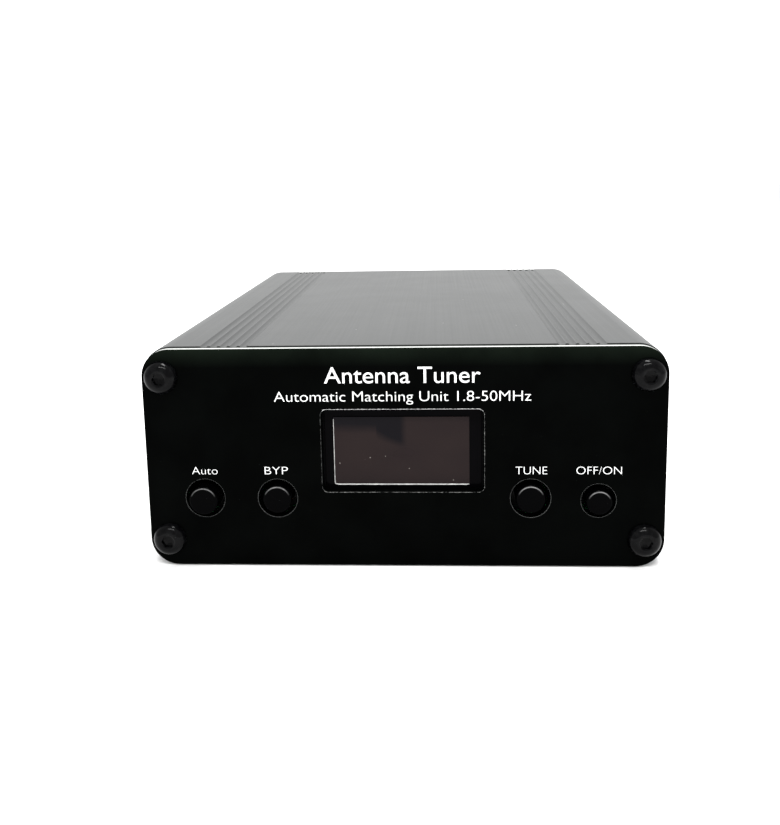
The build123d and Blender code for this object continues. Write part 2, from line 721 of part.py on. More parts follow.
# ---------------------------------------------------------------- power jack
jack_front = REAR_FACE + JACK_FLANGE
jack_floor = jack_front - JACK_BORE_DEPTH
with BuildPart() as dc_jack_body:
    with BuildSketch(upright(REAR_FACE)):
        with Locations((0, JACK_Z)):
            Circle(JACK_FLANGE_RADIUS)
    extrude(amount=-JACK_FLANGE)
    chamfer(dc_jack_body.faces().sort_by(Axis.Y)[-1].edges(), CAP_EDGE)
    with BuildSketch(upright(REAR_FACE)):
        with Locations((0, JACK_Z)):
            Circle(JACK_BODY_RADIUS)
    extrude(amount=REAR_FACE - JACK_BACK)
    with BuildSketch(upright(jack_front)):
        with Locations((0, JACK_Z)):
            Circle(JACK_BORE_RADIUS)
    extrude(amount=JACK_BORE_DEPTH, mode=Mode.SUBTRACT)
    with BuildSketch(upright(jack_floor)):
        with Locations((0, JACK_Z)):
            Circle(JACK_PIN_RADIUS)
    extrude(amount=jack_floor - JACK_BACK, mode=Mode.SUBTRACT)
    with BuildSketch(upright(JACK_BACK)):
        with Locations((-JACK_LUG_X, JACK_Z), (JACK_LUG_X, JACK_Z)):
            Rectangle(JACK_LUG_THICKNESS, JACK_LUG_WIDTH)
    extrude(amount=JACK_LUG_LENGTH)
save(dc_jack_body, "dc_jack_body")

with BuildPart() as dc_jack_centre_pin:
    with BuildSketch(upright(JACK_BACK)):
        with Locations((0, JACK_Z)):
            Circle(JACK_PIN_RADIUS)
    extrude(amount=JACK_BACK + JACK_PIN_RECESS - jack_front)
    fillet(dc_jack_centre_pin.faces().sort_by(Axis.Y)[-1].edges(), CAP_EDGE)
save(dc_jack_centre_pin, "dc_jack_centre_pin")

jack_nut = hex_nut(
    REAR_END - JACK_NUT_HEIGHT, REAR_END, JACK_NUT_FLATS, JACK_BODY_RADIUS + FIT_GAP
)
save(placed(jack_nut, (0, 0, JACK_Z)), "dc_jack_nut")


# ---------------------------------------------------------------- ground terminal
stud_seat = REAR_END - TAG_THICKNESS
stud_end = stud_seat + M4_LENGTH
nut_seat = REAR_FACE + LOCK_WASHER_THICKNESS
washer_seat = nut_seat + M4_NUT_HEIGHT + FIT_GAP
thumb_seat = washer_seat + FLAT_WASHER_THICKNESS + FIT_GAP
thumb_shoulder = thumb_seat + THUMB_COLLAR_HEIGHT
thumb_end = thumb_shoulder + THUMB_HEIGHT

ground_stud = turned(
    (
        (0, stud_seat - M4_HEAD_HEIGHT),
        (M4_HEAD_RADIUS - THUMB_CHAMFER, stud_seat - M4_HEAD_HEIGHT),
        (M4_HEAD_RADIUS, stud_seat - M4_HEAD_HEIGHT + THUMB_CHAMFER),
        (M4_HEAD_RADIUS, stud_seat),
        (M4_RADIUS, stud_seat),
        (M4_RADIUS, stud_end - THREAD_CHAMFER),
        (M4_RADIUS - THREAD_CHAMFER, stud_end),
        (0, stud_end),
    )
)
save(placed(ground_stud, (0, 0, GROUND_Z)), "ground_stud")

with BuildPart() as ground_solder_tag:
    with BuildSketch(upright(REAR_END)):
        with Locations((0, GROUND_Z)):
            Circle(TAG_RADIUS)
            Rectangle(TAG_WIDTH, TAG_TIP_Z - GROUND_Z, align=(Align.CENTER, Align.MIN))
        with Locations((0, TAG_TIP_Z)):
            Circle(TAG_WIDTH / 2)
        with Locations((0, GROUND_Z)):
            Circle(M4_RADIUS + FIT_GAP, mode=Mode.SUBTRACT)
    extrude(amount=TAG_THICKNESS)
save(ground_solder_tag, "ground_solder_tag")

with BuildPart() as ground_lock_washer:
    with BuildSketch(upright(REAR_FACE)):
        with Locations((0, GROUND_Z)):
            Circle(LOCK_WASHER_RADIUS)
            Circle(M4_RADIUS + FIT_GAP, mode=Mode.SUBTRACT)
            Rectangle(
                LOCK_WASHER_SPLIT,
                LOCK_WASHER_RADIUS,
                align=(Align.CENTER, Align.MIN),
                mode=Mode.SUBTRACT,
            )
    extrude(amount=-LOCK_WASHER_THICKNESS)
save(ground_lock_washer, "ground_lock_washer")

ground_hex_nut = hex_nut(nut_seat, nut_seat + M4_NUT_HEIGHT, M4_NUT_FLATS, M4_RADIUS + FIT_GAP)
save(placed(ground_hex_nut, (0, 0, GROUND_Z)), "ground_hex_nut")

ground_flat_washer = ring(
    washer_seat, washer_seat + FLAT_WASHER_THICKNESS, FLAT_WASHER_RADIUS, FLAT_WASHER_BORE
)
save(placed(ground_flat_washer, (0, 0, GROUND_Z)), "ground_flat_washer")

thumb_blank = turned(
    (
        (M4_RADIUS + FIT_GAP, thumb_seat),
        (THUMB_COLLAR_RADIUS, thumb_seat),
        (THUMB_COLLAR_RADIUS, thumb_shoulder),
        (THUMB_RADIUS - THUMB_CHAMFER, thumb_shoulder),
        (THUMB_RADIUS, thumb_shoulder + THUMB_CHAMFER),
        (THUMB_RADIUS, thumb_end - THUMB_CHAMFER),
        (THUMB_RADIUS - THUMB_CHAMFER, thumb_end),
        (M4_RADIUS + FIT_GAP, thumb_end),
    )
)
with BuildPart() as ground_thumb_nut:
    add(thumb_blank.part)
    with BuildSketch(upright(thumb_end)):
        with PolarLocations(THUMB_RADIUS, KNURL_COUNT):
            Circle(KNURL_RADIUS)
    extrude(amount=THUMB_HEIGHT, mode=Mode.SUBTRACT)
save(placed(ground_thumb_nut, (0, 0, GROUND_Z)), "ground_thumb_nut")


# ---------------------------------------------------------------- relays
relay_leads = corners(RELAY_LEAD_PITCH[0] / 2, RELAY_LEAD_PITCH[1] / 2)


def relays(label, places):
    """Small sealed relays that stand on the board at (x, y) places."""
    lead_places = [(x + dx, y + dy) for x, y in places for dx, dy in relay_leads]
    lead_group = leads(lead_places)
    with BuildPart() as group:
        with BuildSketch(Plane.XY.offset(BOARD_TOP)):
            with Locations(*places):
                Rectangle(RELAY_SIZE[0], RELAY_SIZE[1])
        extrude(amount=RELAY_SIZE[2])
        chamfer(group.faces().filter_by(Axis.Z).group_by(Axis.Z)[-1].edges(), CORE_EDGE)
        add(lead_group.part)
    save(group, label)
    board_holes.extend(lead_places)


relay_columns = [(index - (RELAY_COUNT - 1) / 2) * RELAY_PITCH for index in range(RELAY_COUNT)]
relays("inductor_relays", [(x, INDUCTOR_RELAY_Y) for x in relay_columns])
relays("capacitor_relays", [(x, CAPACITOR_RELAY_Y) for x in relay_columns])
relays("network_relay", [NETWORK_RELAY])


# ---------------------------------------------------------------- coils
def wound_cores(core_label, winding_label, places, core, turns, wire):
    """Ring cores that stand upright on the board, each with separate turns of wire round it."""
    outer, inner, depth = core
    reach = wire + WINDING_GAP
    lift = BOARD_TOP + outer + 2 * reach
    centres = [(x, y, lift) for x, y in places]

    with BuildPart() as core_ring:
        add(ring(-depth / 2, depth / 2, outer, inner).part)
        chamfer(core_ring.edges().filter_by(GeomType.CIRCLE), CORE_EDGE)
    save(placed(core_ring, *centres), core_label)

    middle = (outer + inner) / 2
    half_x = (outer - inner) / 2 + reach
    half_y = depth / 2 + reach
    with BuildPart() as turn:
        with BuildSketch(Plane.XY):
            with Locations((middle, 0)):
                RectangleRounded(2 * (half_x + wire), 2 * (half_y + wire), TURN_CORNER * wire)
                RectangleRounded(
                    2 * (half_x - wire),
                    2 * (half_y - wire),
                    (TURN_CORNER - 2) * wire,
                    mode=Mode.SUBTRACT,
                )
        extrude(amount=wire, both=True)
        chamfer(turn.faces().filter_by(Axis.Z).edges(), WIRE_FLAT * wire)

    # The turns leave a gap at the bottom, where both ends of the wire go down to the board
    first_angle = 90 + (360 - WINDING_SWEEP) / 2
    angles = [first_angle + index * WINDING_SWEEP / (turns - 1) for index in range(turns)]
    foot = Vector(outer + reach, 0, 0).rotate(Axis.Y, first_angle)
    with BuildPart() as winding:
        with Locations(*(Location((0, 0, 0), (0, angle, 0)) for angle in angles)):
            add(turn.part)
        with BuildSketch(Plane.XY.offset(foot.Z)):
            with Locations((-foot.X, 0), (foot.X, 0)):
                Circle(wire)
        extrude(amount=BOARD_TOP - LEAD_REACH - lift - foot.Z)
    save(placed(winding, *centres), winding_label)
    board_holes.extend((x + side * foot.X, y) for x, y in places for side in (-1, 1))


wound_cores("toroid_cores", "toroid_windings", TOROIDS, TOROID_CORE, TOROID_TURNS, TOROID_WIRE)
wound_cores(
    "coupler_cores", "coupler_windings", COUPLERS, COUPLER_CORE, COUPLER_TURNS, COUPLER_WIRE
)

# Self-supporting coils, lying along Y, with a leg down to the board at each end
coil_lift = AIR_COIL_RADIUS + AIR_COIL_WIRE + AIR_COIL_LIFT


def air_coil(turns):
    """A coil of bare wire wound along Z, both of its legs reaching out towards +X."""
    length = turns * AIR_COIL_PITCH
    with BuildPart() as coil:
        with BuildLine() as helix:
            Helix(AIR_COIL_PITCH, length, AIR_COIL_RADIUS)
        with BuildSketch(Plane(origin=helix.line @ 0, z_dir=helix.line % 0)):
            RegularPolygon(AIR_COIL_WIRE, WIRE_SIDES)
        sweep(is_frenet=True)
        with BuildSketch(Plane.YZ.offset(AIR_COIL_RADIUS)):
            with Locations((0, 0), (0, length)):
                Circle(AIR_COIL_WIRE)
        extrude(amount=coil_lift + LEAD_REACH - AIR_COIL_RADIUS)
    return coil


with BuildPart() as air_core_coils:
    for coil_x, coil_turns in AIR_COILS:
        coil_start = AIR_COIL_Y - coil_turns * AIR_COIL_PITCH / 2
        single_coil = air_coil(coil_turns)
        along_y = Plane((coil_x, coil_start, BOARD_TOP + coil_lift), x_dir=(0, 0, -1), z_dir=(0, 1, 0))
        with Locations(along_y):
            add(single_coil.part)
        board_holes.extend([(coil_x, coil_start), (coil_x, coil_start + coil_turns * AIR_COIL_PITCH)])
save(air_core_coils, "air_core_coils")


# ---------------------------------------------------------------- other board parts
with BuildPart() as bank_capacitors:
    with BuildSketch(Plane.XY.offset(BOARD_TOP)):
        with Locations(*((x + side * BANK_OFFSET, BANK_Y) for x in relay_columns for side in (-1, 1))):
            Rectangle(BANK_SIZE[0], BANK_SIZE[1])
    extrude(amount=BANK_SIZE[2])
save(bank_capacitors, "bank_capacitors")


def flat_packs(label, places, size, rows):
    """Surface-mount chips with a row of leads along each long side."""
    width, length, height = size
    lead_length, lead_width, lead_height = CHIP_LEAD
    with BuildPart() as group:
        for x, y in places:
            with Locations((x, y, BOARD_TOP + CHIP_STANDOFF)):
                Box(width, length, height, align=(Align.CENTER, Align.CENTER, Align.MIN))
            with Locations((x, y, BOARD_TOP)):
                with GridLocations(
                    width + lead_length - 2 * CHIP_LEAD_OVERLAP, CHIP_LEAD_PITCH, 2, rows
                ):
                    Box(
                        lead_length,
                        lead_width,
                        lead_height,
                        align=(Align.CENTER, Align.CENTER, Align.MIN),
                    )
    save(group, label)


flat_packs("microcontroller", [CONTROLLER], CONTROLLER_SIZE, CONTROLLER_ROWS)
flat_packs("relay_drivers", DRIVERS, DRIVER_SIZE, DRIVER_ROWS)

with BuildPart() as voltage_regulator:
    with BuildSketch(Plane.XY.offset(BOARD_TOP + CHIP_STANDOFF)):
        with Locations(REGULATOR):
            Rectangle(REGULATOR_SIZE[0], REGULATOR_SIZE[1])
    extrude(amount=REGULATOR_SIZE[2])
    with BuildSketch(Plane.XY.offset(BOARD_TOP)):
        with Locations((REGULATOR[0], REGULATOR[1] + REGULATOR_SIZE[1] / 2)):
            Rectangle(REGULATOR_TAB[0], 2 * REGULATOR_TAB[1])
    extrude(amount=REGULATOR_TAB[2])
    with BuildSketch(Plane.XY.offset(BOARD_TOP)):
        with Locations((REGULATOR[0], REGULATOR[1] - REGULATOR_SIZE[1] / 2)):
            with GridLocations(REGULATOR_LEAD_PITCH, 1, 2, 1):
                Rectangle(REGULATOR_LEAD[0], 2 * REGULATOR_LEAD[1])
    extrude(amount=REGULATOR_LEAD[2])
save(voltage_regulator, "voltage_regulator")

smoother_leads = [(x + side * SMOOTHER_LEAD_PITCH / 2, y) for x, y in SMOOTHERS for side in (-1, 1)]
smoother_lead_group = leads(smoother_leads)
neck_height, neck_depth, sleeve_edge = SMOOTHER_NECK
with BuildPart() as smoothing_capacitors:
    for smoother_x, smoother_y in SMOOTHERS:
        with Locations((smoother_x, smoother_y, BOARD_TOP)):
            Cylinder(
                SMOOTHER_RADIUS,
                SMOOTHER_HEIGHT,
                align=(Align.CENTER, Align.CENTER, Align.MIN),
            )
    chamfer(smoothing_capacitors.edges().filter_by(GeomType.CIRCLE).group_by(Axis.Z)[-1], sleeve_edge)
    # Rolled groove above the rubber bung
    with BuildSketch(Plane.XY.offset(BOARD_TOP + neck_height)):
        with Locations(*SMOOTHERS):
            Circle(SMOOTHER_RADIUS + neck_depth)
            Circle(SMOOTHER_RADIUS - neck_depth, mode=Mode.SUBTRACT)
    extrude(amount=neck_depth, mode=Mode.SUBTRACT)
    add(smoother_lead_group.part)
save(smoothing_capacitors, "smoothing_capacitors")
board_holes.extend(smoother_leads)


# ---------------------------------------------------------------- wires to the rear panel
wire_foot = BOARD_TOP - LEAD_REACH
wire_holes = []


def wire(start, turn_y, radius):
    """A wire that leaves the rear panel towards the front, then bends down through the board."""
    x, _, z = start
    with BuildPart() as piece:
        with BuildLine() as route:
            FilletPolyline(start, (x, turn_y, z), (x, turn_y, wire_foot), radius=WIRE_BEND)
        with BuildSketch(Plane(origin=route.line @ 0, z_dir=route.line % 0)):
            Circle(radius)
        sweep()
    wire_holes.append((x, turn_y, radius + WIRE_HOLE_GAP))
    return piece


cup_floor = CONTACT_BACK - CUP_LENGTH + CUP_DEPTH
for socket_name, socket_x in SOCKETS:
    socket_wire = wire((socket_x, cup_floor - FREE_GAP, MID_Z), SOCKET_WIRE_Y, SOCKET_WIRE)
    save(socket_wire, f"{socket_name}_lead")

lug_end = JACK_BACK - JACK_LUG_LENGTH
dc_wires = [wire((side * JACK_LUG_X, lug_end, JACK_Z), DC_WIRE_Y, DC_WIRE) for side in (-1, 1)]
with BuildPart() as dc_leads:
    add([dc_wire.part for dc_wire in dc_wires])
save(dc_leads, "dc_leads")

save(wire((0, stud_seat, TAG_TIP_Z), GROUND_WIRE_Y, GROUND_WIRE), "ground_lead")


# ---------------------------------------------------------------- main board
with BuildPart() as main_board:
    with BuildSketch(Plane.XY.offset(BOARD_TOP)):
        with Locations((0, BOARD_FRONT)):
            Rectangle(BOARD_WIDTH, BOARD_BACK - BOARD_FRONT, align=(Align.CENTER, Align.MIN))
            Rectangle(
                NOTCH_WIDTH,
                NOTCH_DEPTH,
                align=(Align.CENTER, Align.MIN),
                mode=Mode.SUBTRACT,
            )
        with Locations(*board_holes):
            Circle(LEAD_HOLE_RADIUS, mode=Mode.SUBTRACT)
        for hole_x, hole_y, hole_radius in wire_holes:
            with Locations((hole_x, hole_y)):
                Circle(hole_radius, mode=Mode.SUBTRACT)
    extrude(amount=-BOARD_THICKNESS)
save(main_board, "main_board")
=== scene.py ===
import json
import math

import bmesh
import bpy
from mathutils import Matrix, Vector


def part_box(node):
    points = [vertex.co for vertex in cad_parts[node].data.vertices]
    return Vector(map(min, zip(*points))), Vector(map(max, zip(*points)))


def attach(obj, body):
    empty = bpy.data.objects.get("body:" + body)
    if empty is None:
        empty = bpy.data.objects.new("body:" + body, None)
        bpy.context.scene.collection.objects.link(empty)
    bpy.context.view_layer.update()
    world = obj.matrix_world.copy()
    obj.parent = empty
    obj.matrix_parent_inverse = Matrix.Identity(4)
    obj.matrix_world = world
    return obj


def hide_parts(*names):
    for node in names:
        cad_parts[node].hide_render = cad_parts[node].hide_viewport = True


# Looks of the antenna tuner: a black split case with a flat panel at each end. The frame's origin
# is the centre of the underside, X runs to the right, Y to the rear panel and Z up. Blender works
# in metres; places and sizes here are in millimetres until they reach a mesh or a shader.

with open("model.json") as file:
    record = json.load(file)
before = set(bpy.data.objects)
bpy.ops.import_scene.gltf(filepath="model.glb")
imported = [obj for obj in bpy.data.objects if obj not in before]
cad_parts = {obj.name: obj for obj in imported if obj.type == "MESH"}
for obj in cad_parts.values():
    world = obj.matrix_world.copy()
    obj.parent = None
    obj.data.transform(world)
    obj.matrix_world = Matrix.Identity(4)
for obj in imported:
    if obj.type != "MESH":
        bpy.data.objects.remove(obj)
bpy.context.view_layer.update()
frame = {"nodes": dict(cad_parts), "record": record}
NODES = frame["nodes"]

MM = 0.001
TURN = 2 * math.pi


# ---------------------------------------------------------------- places, from the frame
def low(node):
    """The lowest corner of a CAD node's box, in millimetres."""
    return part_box(node)[0] / MM


def high(node):
    """The highest corner of a CAD node's box, in millimetres."""
    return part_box(node)[1] / MM


def middle(node):
    """The centre of a CAD node's box, in millimetres."""
    return (low(node) + high(node)) / 2


FRONT_FACE = low("front_panel").y
REAR_FACE = high("rear_panel").y
CASE_FRONT = low("upper_shell").y
PANEL_HALF_WIDTH = high("front_panel").x
PANEL_TOP = high("front_panel").z
MID_Z = middle("front_panel").z
PANEL_RADIUS = 4.8

# Window in the front panel, and the holes for the buttons
WINDOW_HALF_X = 13.7
WINDOW_HALF_Z = 7.15
WINDOW_Z = MID_Z + 1.35
WINDOW_RADIUS = 0.9
TACT_HOLE_RADIUS = 3.3
POWER_HOLE_RADIUS = 2.85

# M3 button-head screws
HEAD_RADIUS = 2.85
HEAD_HEIGHT = 1.65
M3_RADIUS = 1.5
M3_LENGTH = 8.0
HEX_FLATS = 2.0
HEX_DEPTH = 1.0


# ---------------------------------------------------------------- node helpers
def new_material(name, colour, roughness, metallic=0.0, specular=0.5):
    """A Principled material with its constants set on the shader. Returns it with tree and shader."""
    material = bpy.data.materials.new(name)
    material.use_nodes = True
    material.diffuse_color = (*colour, 1.0)
    tree = material.node_tree
    shader = tree.nodes["Principled BSDF"]
    shader.inputs["Base Color"].default_value = (*colour, 1.0)
    shader.inputs["Roughness"].default_value = roughness
    shader.inputs["Metallic"].default_value = metallic
    shader.inputs["Specular IOR Level"].default_value = specular
    return material, tree, shader


def add_node(tree, kind, values=None, **settings):
    """A node with its settings, and its inputs set to numbers or linked to other sockets."""
    made = tree.nodes.new(kind)
    for name, value in settings.items():
        setattr(made, name, value)
    for key, value in (values or {}).items():
        if isinstance(value, bpy.types.NodeSocket):
            tree.links.new(value, made.inputs[key])
        else:
            made.inputs[key].default_value = value
    return made


def maths(tree, operation, first, second=0.0, third=0.0):
    """One Math node."""
    values = {0: first, 1: second, 2: third}
    return add_node(tree, "ShaderNodeMath", values, operation=operation).outputs[0]


def object_place(tree):
    """The surface point in the object's own frame, which is the row frame, in millimetres."""
    place = add_node(tree, "ShaderNodeTexCoord").outputs["Object"]
    return add_node(tree, "ShaderNodeMapping", {"Vector": place, "Scale": (1 / MM,) * 3}).outputs[0]


def axes(tree, vector):
    """The X, Y and Z of a vector as three sockets."""
    return add_node(tree, "ShaderNodeSeparateXYZ", {0: vector}).outputs


def scaled(tree, place, size):
    """The point divided by a feature size in millimetres, one size or one for each axis."""
    sizes = size if isinstance(size, tuple) else (size, size, size)
    values = {"Vector": place, "Scale": tuple(1 / s for s in sizes)}
    return add_node(tree, "ShaderNodeMapping", values).outputs[0]


def noise(tree, place, size, detail=2.0, roughness=0.5):
    """Noise from 0 to 1, about 0.5, with features of the given size in millimetres."""
    values = {"Vector": scaled(tree, place, size), "Scale": 1.0, "Detail": detail, "Roughness": roughness}
    return add_node(tree, "ShaderNodeTexNoise", values).outputs["Fac"]


def specks(tree, place, size, share, rarity=0.8):
    """1 in small scattered dots, else 0. A larger share gives larger dots, a larger rarity fewer."""
    values = {"Vector": scaled(tree, place, size), "Scale": 1.0}
    cells = add_node(tree, "ShaderNodeTexVoronoi", values, feature="F1")
    chosen = maths(tree, "GREATER_THAN", cells.outputs["Color"], rarity)
    near = maths(tree, "LESS_THAN", cells.outputs["Distance"], share)
    return maths(tree, "MULTIPLY", chosen, near)


def spread(tree, value, start, end, out_start=0.0, out_end=1.0):
    """Maps start..end to out_start..out_end, clamped."""
    values = {0: value, 1: start, 2: end, 3: out_start, 4: out_end}
    return add_node(tree, "ShaderNodeMapRange", values).outputs[0]


def blend_colours(tree, factor, first, second):
    """First where factor is 0, second where it is 1. Colours are triples or sockets."""
    made = add_node(tree, "ShaderNodeMix", data_type="RGBA")
    for index, value in ((0, factor), (6, first), (7, second)):
        if isinstance(value, tuple):
            value = (*value, 1.0)
        if isinstance(value, bpy.types.NodeSocket):
            tree.links.new(value, made.inputs[index])
        else:
            made.inputs[index].default_value = value
    return made.outputs[2]


def bump(tree, shader, height, depth, strength=1.0, under=None):
    """Bumps the shader's normal by height, 0 to 1, times depth in millimetres."""
    values = {"Height": height, "Distance": depth * MM, "Strength": strength}
    if under is not None:
        values["Normal"] = under
    normal = add_node(tree, "ShaderNodeBump", values).outputs[0]
    tree.links.new(normal, shader.inputs["Normal"])
    return normal


def rounded_box_distance(tree, place, half_x, half_z, centre_z, radius):
    """Signed distance from the outline of a rounded rectangle in the XZ plane, in millimetres."""
    x, _, z = axes(tree, place)
    across = maths(tree, "SUBTRACT", maths(tree, "ABSOLUTE", x), half_x - radius)
    lifted = maths(tree, "ABSOLUTE", maths(tree, "SUBTRACT", z, centre_z))
    upward = maths(tree, "SUBTRACT", lifted, half_z - radius)
    across_out = maths(tree, "MAXIMUM", across, 0.0)
    upward_out = maths(tree, "MAXIMUM", upward, 0.0)
    upward_squared = maths(tree, "MULTIPLY", upward_out, upward_out)
    outside = maths(tree, "SQRT", maths(tree, "MULTIPLY_ADD", across_out, across_out, upward_squared))
    inside = maths(tree, "MINIMUM", maths(tree, "MAXIMUM", across, upward), 0.0)
    return maths(tree, "SUBTRACT", maths(tree, "ADD", outside, inside), radius)


def circle_distance(tree, place, centre_x, centre_z, radius):
    """Distance from a circle in the XZ plane, in millimetres."""
    x, _, z = axes(tree, place)
    across = maths(tree, "SUBTRACT", x, centre_x)
    upward = maths(tree, "SUBTRACT", z, centre_z)
    squared = maths(tree, "MULTIPLY_ADD", across, across, maths(tree, "MULTIPLY", upward, upward))
    return maths(tree, "ABSOLUTE", maths(tree, "SUBTRACT", maths(tree, "SQRT", squared), radius))


# ---------------------------------------------------------------- materials
def anodised_case():
    """Black anodised extrusion: a fine blasted grain, faint lines along it, and dust."""
    material, tree, shader = new_material("case_black", (0.012, 0.0125, 0.0125), 0.3, specular=0.4)
    shader.inputs["Specular Tint"].default_value = (0.93, 1.0, 0.99, 1.0)
    place = object_place(tree)
    clouds = noise(tree, place, 16.0, 3.0)
    grain = noise(tree, place, 0.14, 3.0, 0.7)
    lines = noise(tree, place, (0.4, 70.0, 0.4), 2.0, 0.5)
    dust = specks(tree, place, 3.1, 0.05, 0.75)
    drift = spread(tree, clouds, 0.35, 0.65)
    tone = blend_colours(tree, drift, (0.009, 0.0098, 0.0096), (0.016, 0.0168, 0.0165))
    tone = blend_colours(tree, dust, tone, (0.34, 0.34, 0.33))
    tree.links.new(tone, shader.inputs["Base Color"])
    satin = maths(tree, "MULTIPLY_ADD", spread(tree, lines, 0.3, 0.7), 0.02, 0.285)
    satin = maths(tree, "MULTIPLY_ADD", drift, 0.03, satin)
    tree.links.new(satin, shader.inputs["Roughness"])
    ridges = bump(tree, shader, lines, 0.0012, 0.5)
    bump(tree, shader, grain, 0.009, 0.45, under=ridges)
    return material


def solder_mask_panel(name, windowed):
    """Black solder mask over glass epoxy, painted sheen under the top. Cut edges bare: pale outside with
    painted shadow by the case, ragged at the window.
    """
    material, tree, shader = new_material(name, (0.0006, 0.0008, 0.0007), 0.28, specular=0.007)
    place = object_place(tree)
    clouds = noise(tree, place, 9.0, 3.0)
    grain = noise(tree, place, 0.22, 2.0)
    weave = noise(tree, place, 0.9, 2.0)
    dust = specks(tree, place, 2.4, 0.045, 0.72)
    drift = spread(tree, clouds, 0.35, 0.65)
    mask = blend_colours(tree, drift, (0.0003, 0.0004, 0.00035), (0.0007, 0.0009, 0.0008))
    # Painted sheen: a paler greenish band painted under the panel's top edge, patchy with the clouds
    painted_top_sheen = spread(tree, axes(tree, place)[2], PANEL_TOP - 3.2, PANEL_TOP - 0.3)
    painted_top_sheen = maths(tree, "MULTIPLY", painted_top_sheen, spread(tree, clouds, 0.3, 0.7, 0.4, 1.0))
    mask = blend_colours(tree, painted_top_sheen, mask, (0.0045, 0.0068, 0.0046))
    mask = blend_colours(tree, dust, mask, (0.05, 0.05, 0.045))

    # Bare edges of the outline
    normal = add_node(tree, "ShaderNodeNewGeometry").outputs["True Normal"]
    sideways = maths(tree, "LESS_THAN", maths(tree, "ABSOLUTE", axes(tree, normal)[1]), 0.3)
    half_height = PANEL_TOP - MID_Z
    rim = rounded_box_distance(tree, place, PANEL_HALF_WIDTH, half_height, MID_Z, PANEL_RADIUS)
    at_rim = maths(tree, "GREATER_THAN", rim, -0.3)
    bare = maths(tree, "MULTIPLY", sideways, at_rim)
    fibres = spread(tree, noise(tree, place, (0.7, 0.09, 0.7), 3.0, 0.7), 0.3, 0.7)
    pale = blend_colours(tree, fibres, (0.22, 0.23, 0.22), (0.60, 0.61, 0.59))
    depth = maths(tree, "ABSOLUTE", axes(tree, place)[1])
    # Painted shadow: the bare edge is painted dark in its rear strip next to the case, where panel and case
    # meet
    shaded = spread(tree, depth, -CASE_FRONT + 0.35, -CASE_FRONT + 0.8)
    pale = blend_colours(tree, shaded, (0.03, 0.031, 0.03), pale)
    colour = blend_colours(tree, bare, mask, pale)

    if windowed:
        # Frayed line round the window, strongest along its top, and the cut rims of the button holes
        gap = rounded_box_distance(tree, place, WINDOW_HALF_X, WINDOW_HALF_Z, WINDOW_Z, WINDOW_RADIUS)
        across, _, up = axes(tree, place)
        face = maths(tree, "GREATER_THAN", depth, -FRONT_FACE - 0.03)
        rough = spread(tree, noise(tree, place, 0.55, 4.0, 0.7), 0.3, 0.62)
        above = maths(tree, "GREATER_THAN", up, WINDOW_Z + WINDOW_HALF_Z - 0.25)
        left = maths(tree, "LESS_THAN", across, 0.2 - WINDOW_HALF_X)
        reach = maths(tree, "MULTIPLY_ADD", rough, 0.15, 0.07)
        reach = maths(tree, "ADD", reach, maths(tree, "MULTIPLY", above, 0.05))
        torn = maths(tree, "MULTIPLY", face, maths(tree, "LESS_THAN", maths(tree, "ABSOLUTE", gap), reach))
        fine = spread(tree, noise(tree, place, 0.3, 3.0, 0.8), 0.4, 0.68)
        frayed = blend_colours(tree, fine, (0.04, 0.041, 0.04), (0.24, 0.24, 0.23))
        frayed = blend_colours(tree, left, frayed, (0.05, 0.051, 0.05))
        bright = blend_colours(tree, fine, (0.28, 0.28, 0.28), (0.52, 0.52, 0.51))
        frayed = blend_colours(tree, above, frayed, bright)
        colour = blend_colours(tree, torn, colour, frayed)
        holes = [(middle(cap), radius) for cap, radius in CAP_HOLES]
        rings = [circle_distance(tree, place, spot.x, spot.z, radius) for spot, radius in holes]
        nearest = rings[0]
        for ring in rings[1:]:
            nearest = maths(tree, "MINIMUM", nearest, ring)
        cut = maths(tree, "MULTIPLY", face, maths(tree, "LESS_THAN", nearest, 0.16))
        rim_tone = blend_colours(tree, fine, (0.05, 0.052, 0.051), (0.13, 0.133, 0.131))
        colour = blend_colours(tree, cut, colour, rim_tone)
    tree.links.new(colour, shader.inputs["Base Color"])
    satin = maths(tree, "MULTIPLY_ADD", drift, 0.06, 0.25)
    satin = maths(tree, "MAXIMUM", satin, maths(tree, "MULTIPLY", bare, 0.6))
    tree.links.new(satin, shader.inputs["Roughness"])
    soft = bump(tree, shader, weave, 0.003, 0.4)
    bump(tree, shader, grain, 0.002, 0.4, under=soft)
    return material


def plain(name, colour, roughness, metallic=0.0, specular=0.5, vary=0.15, size=3.0, grain=0.2, depth=0.004):
    """A moulded, painted or plated finish: its tone and roughness drift, over a fine grain."""
    material, tree, shader = new_material(name, colour, roughness, metallic, specular)
    place = object_place(tree)
    clouds = noise(tree, place, size, 3.0)
    light = tuple(min(1.0, c * (1 + vary)) for c in colour)
    dark = tuple(c * (1 - vary) for c in colour)
    drift = spread(tree, clouds, 0.3, 0.7)
    tree.links.new(blend_colours(tree, drift, dark, light), shader.inputs["Base Color"])
    rough = maths(tree, "MULTIPLY_ADD", drift, 0.3 * roughness, 0.85 * roughness)
    tree.links.new(rough, shader.inputs["Roughness"])
    bump(tree, shader, noise(tree, place, grain, 2.0), depth, 0.5)
    return material


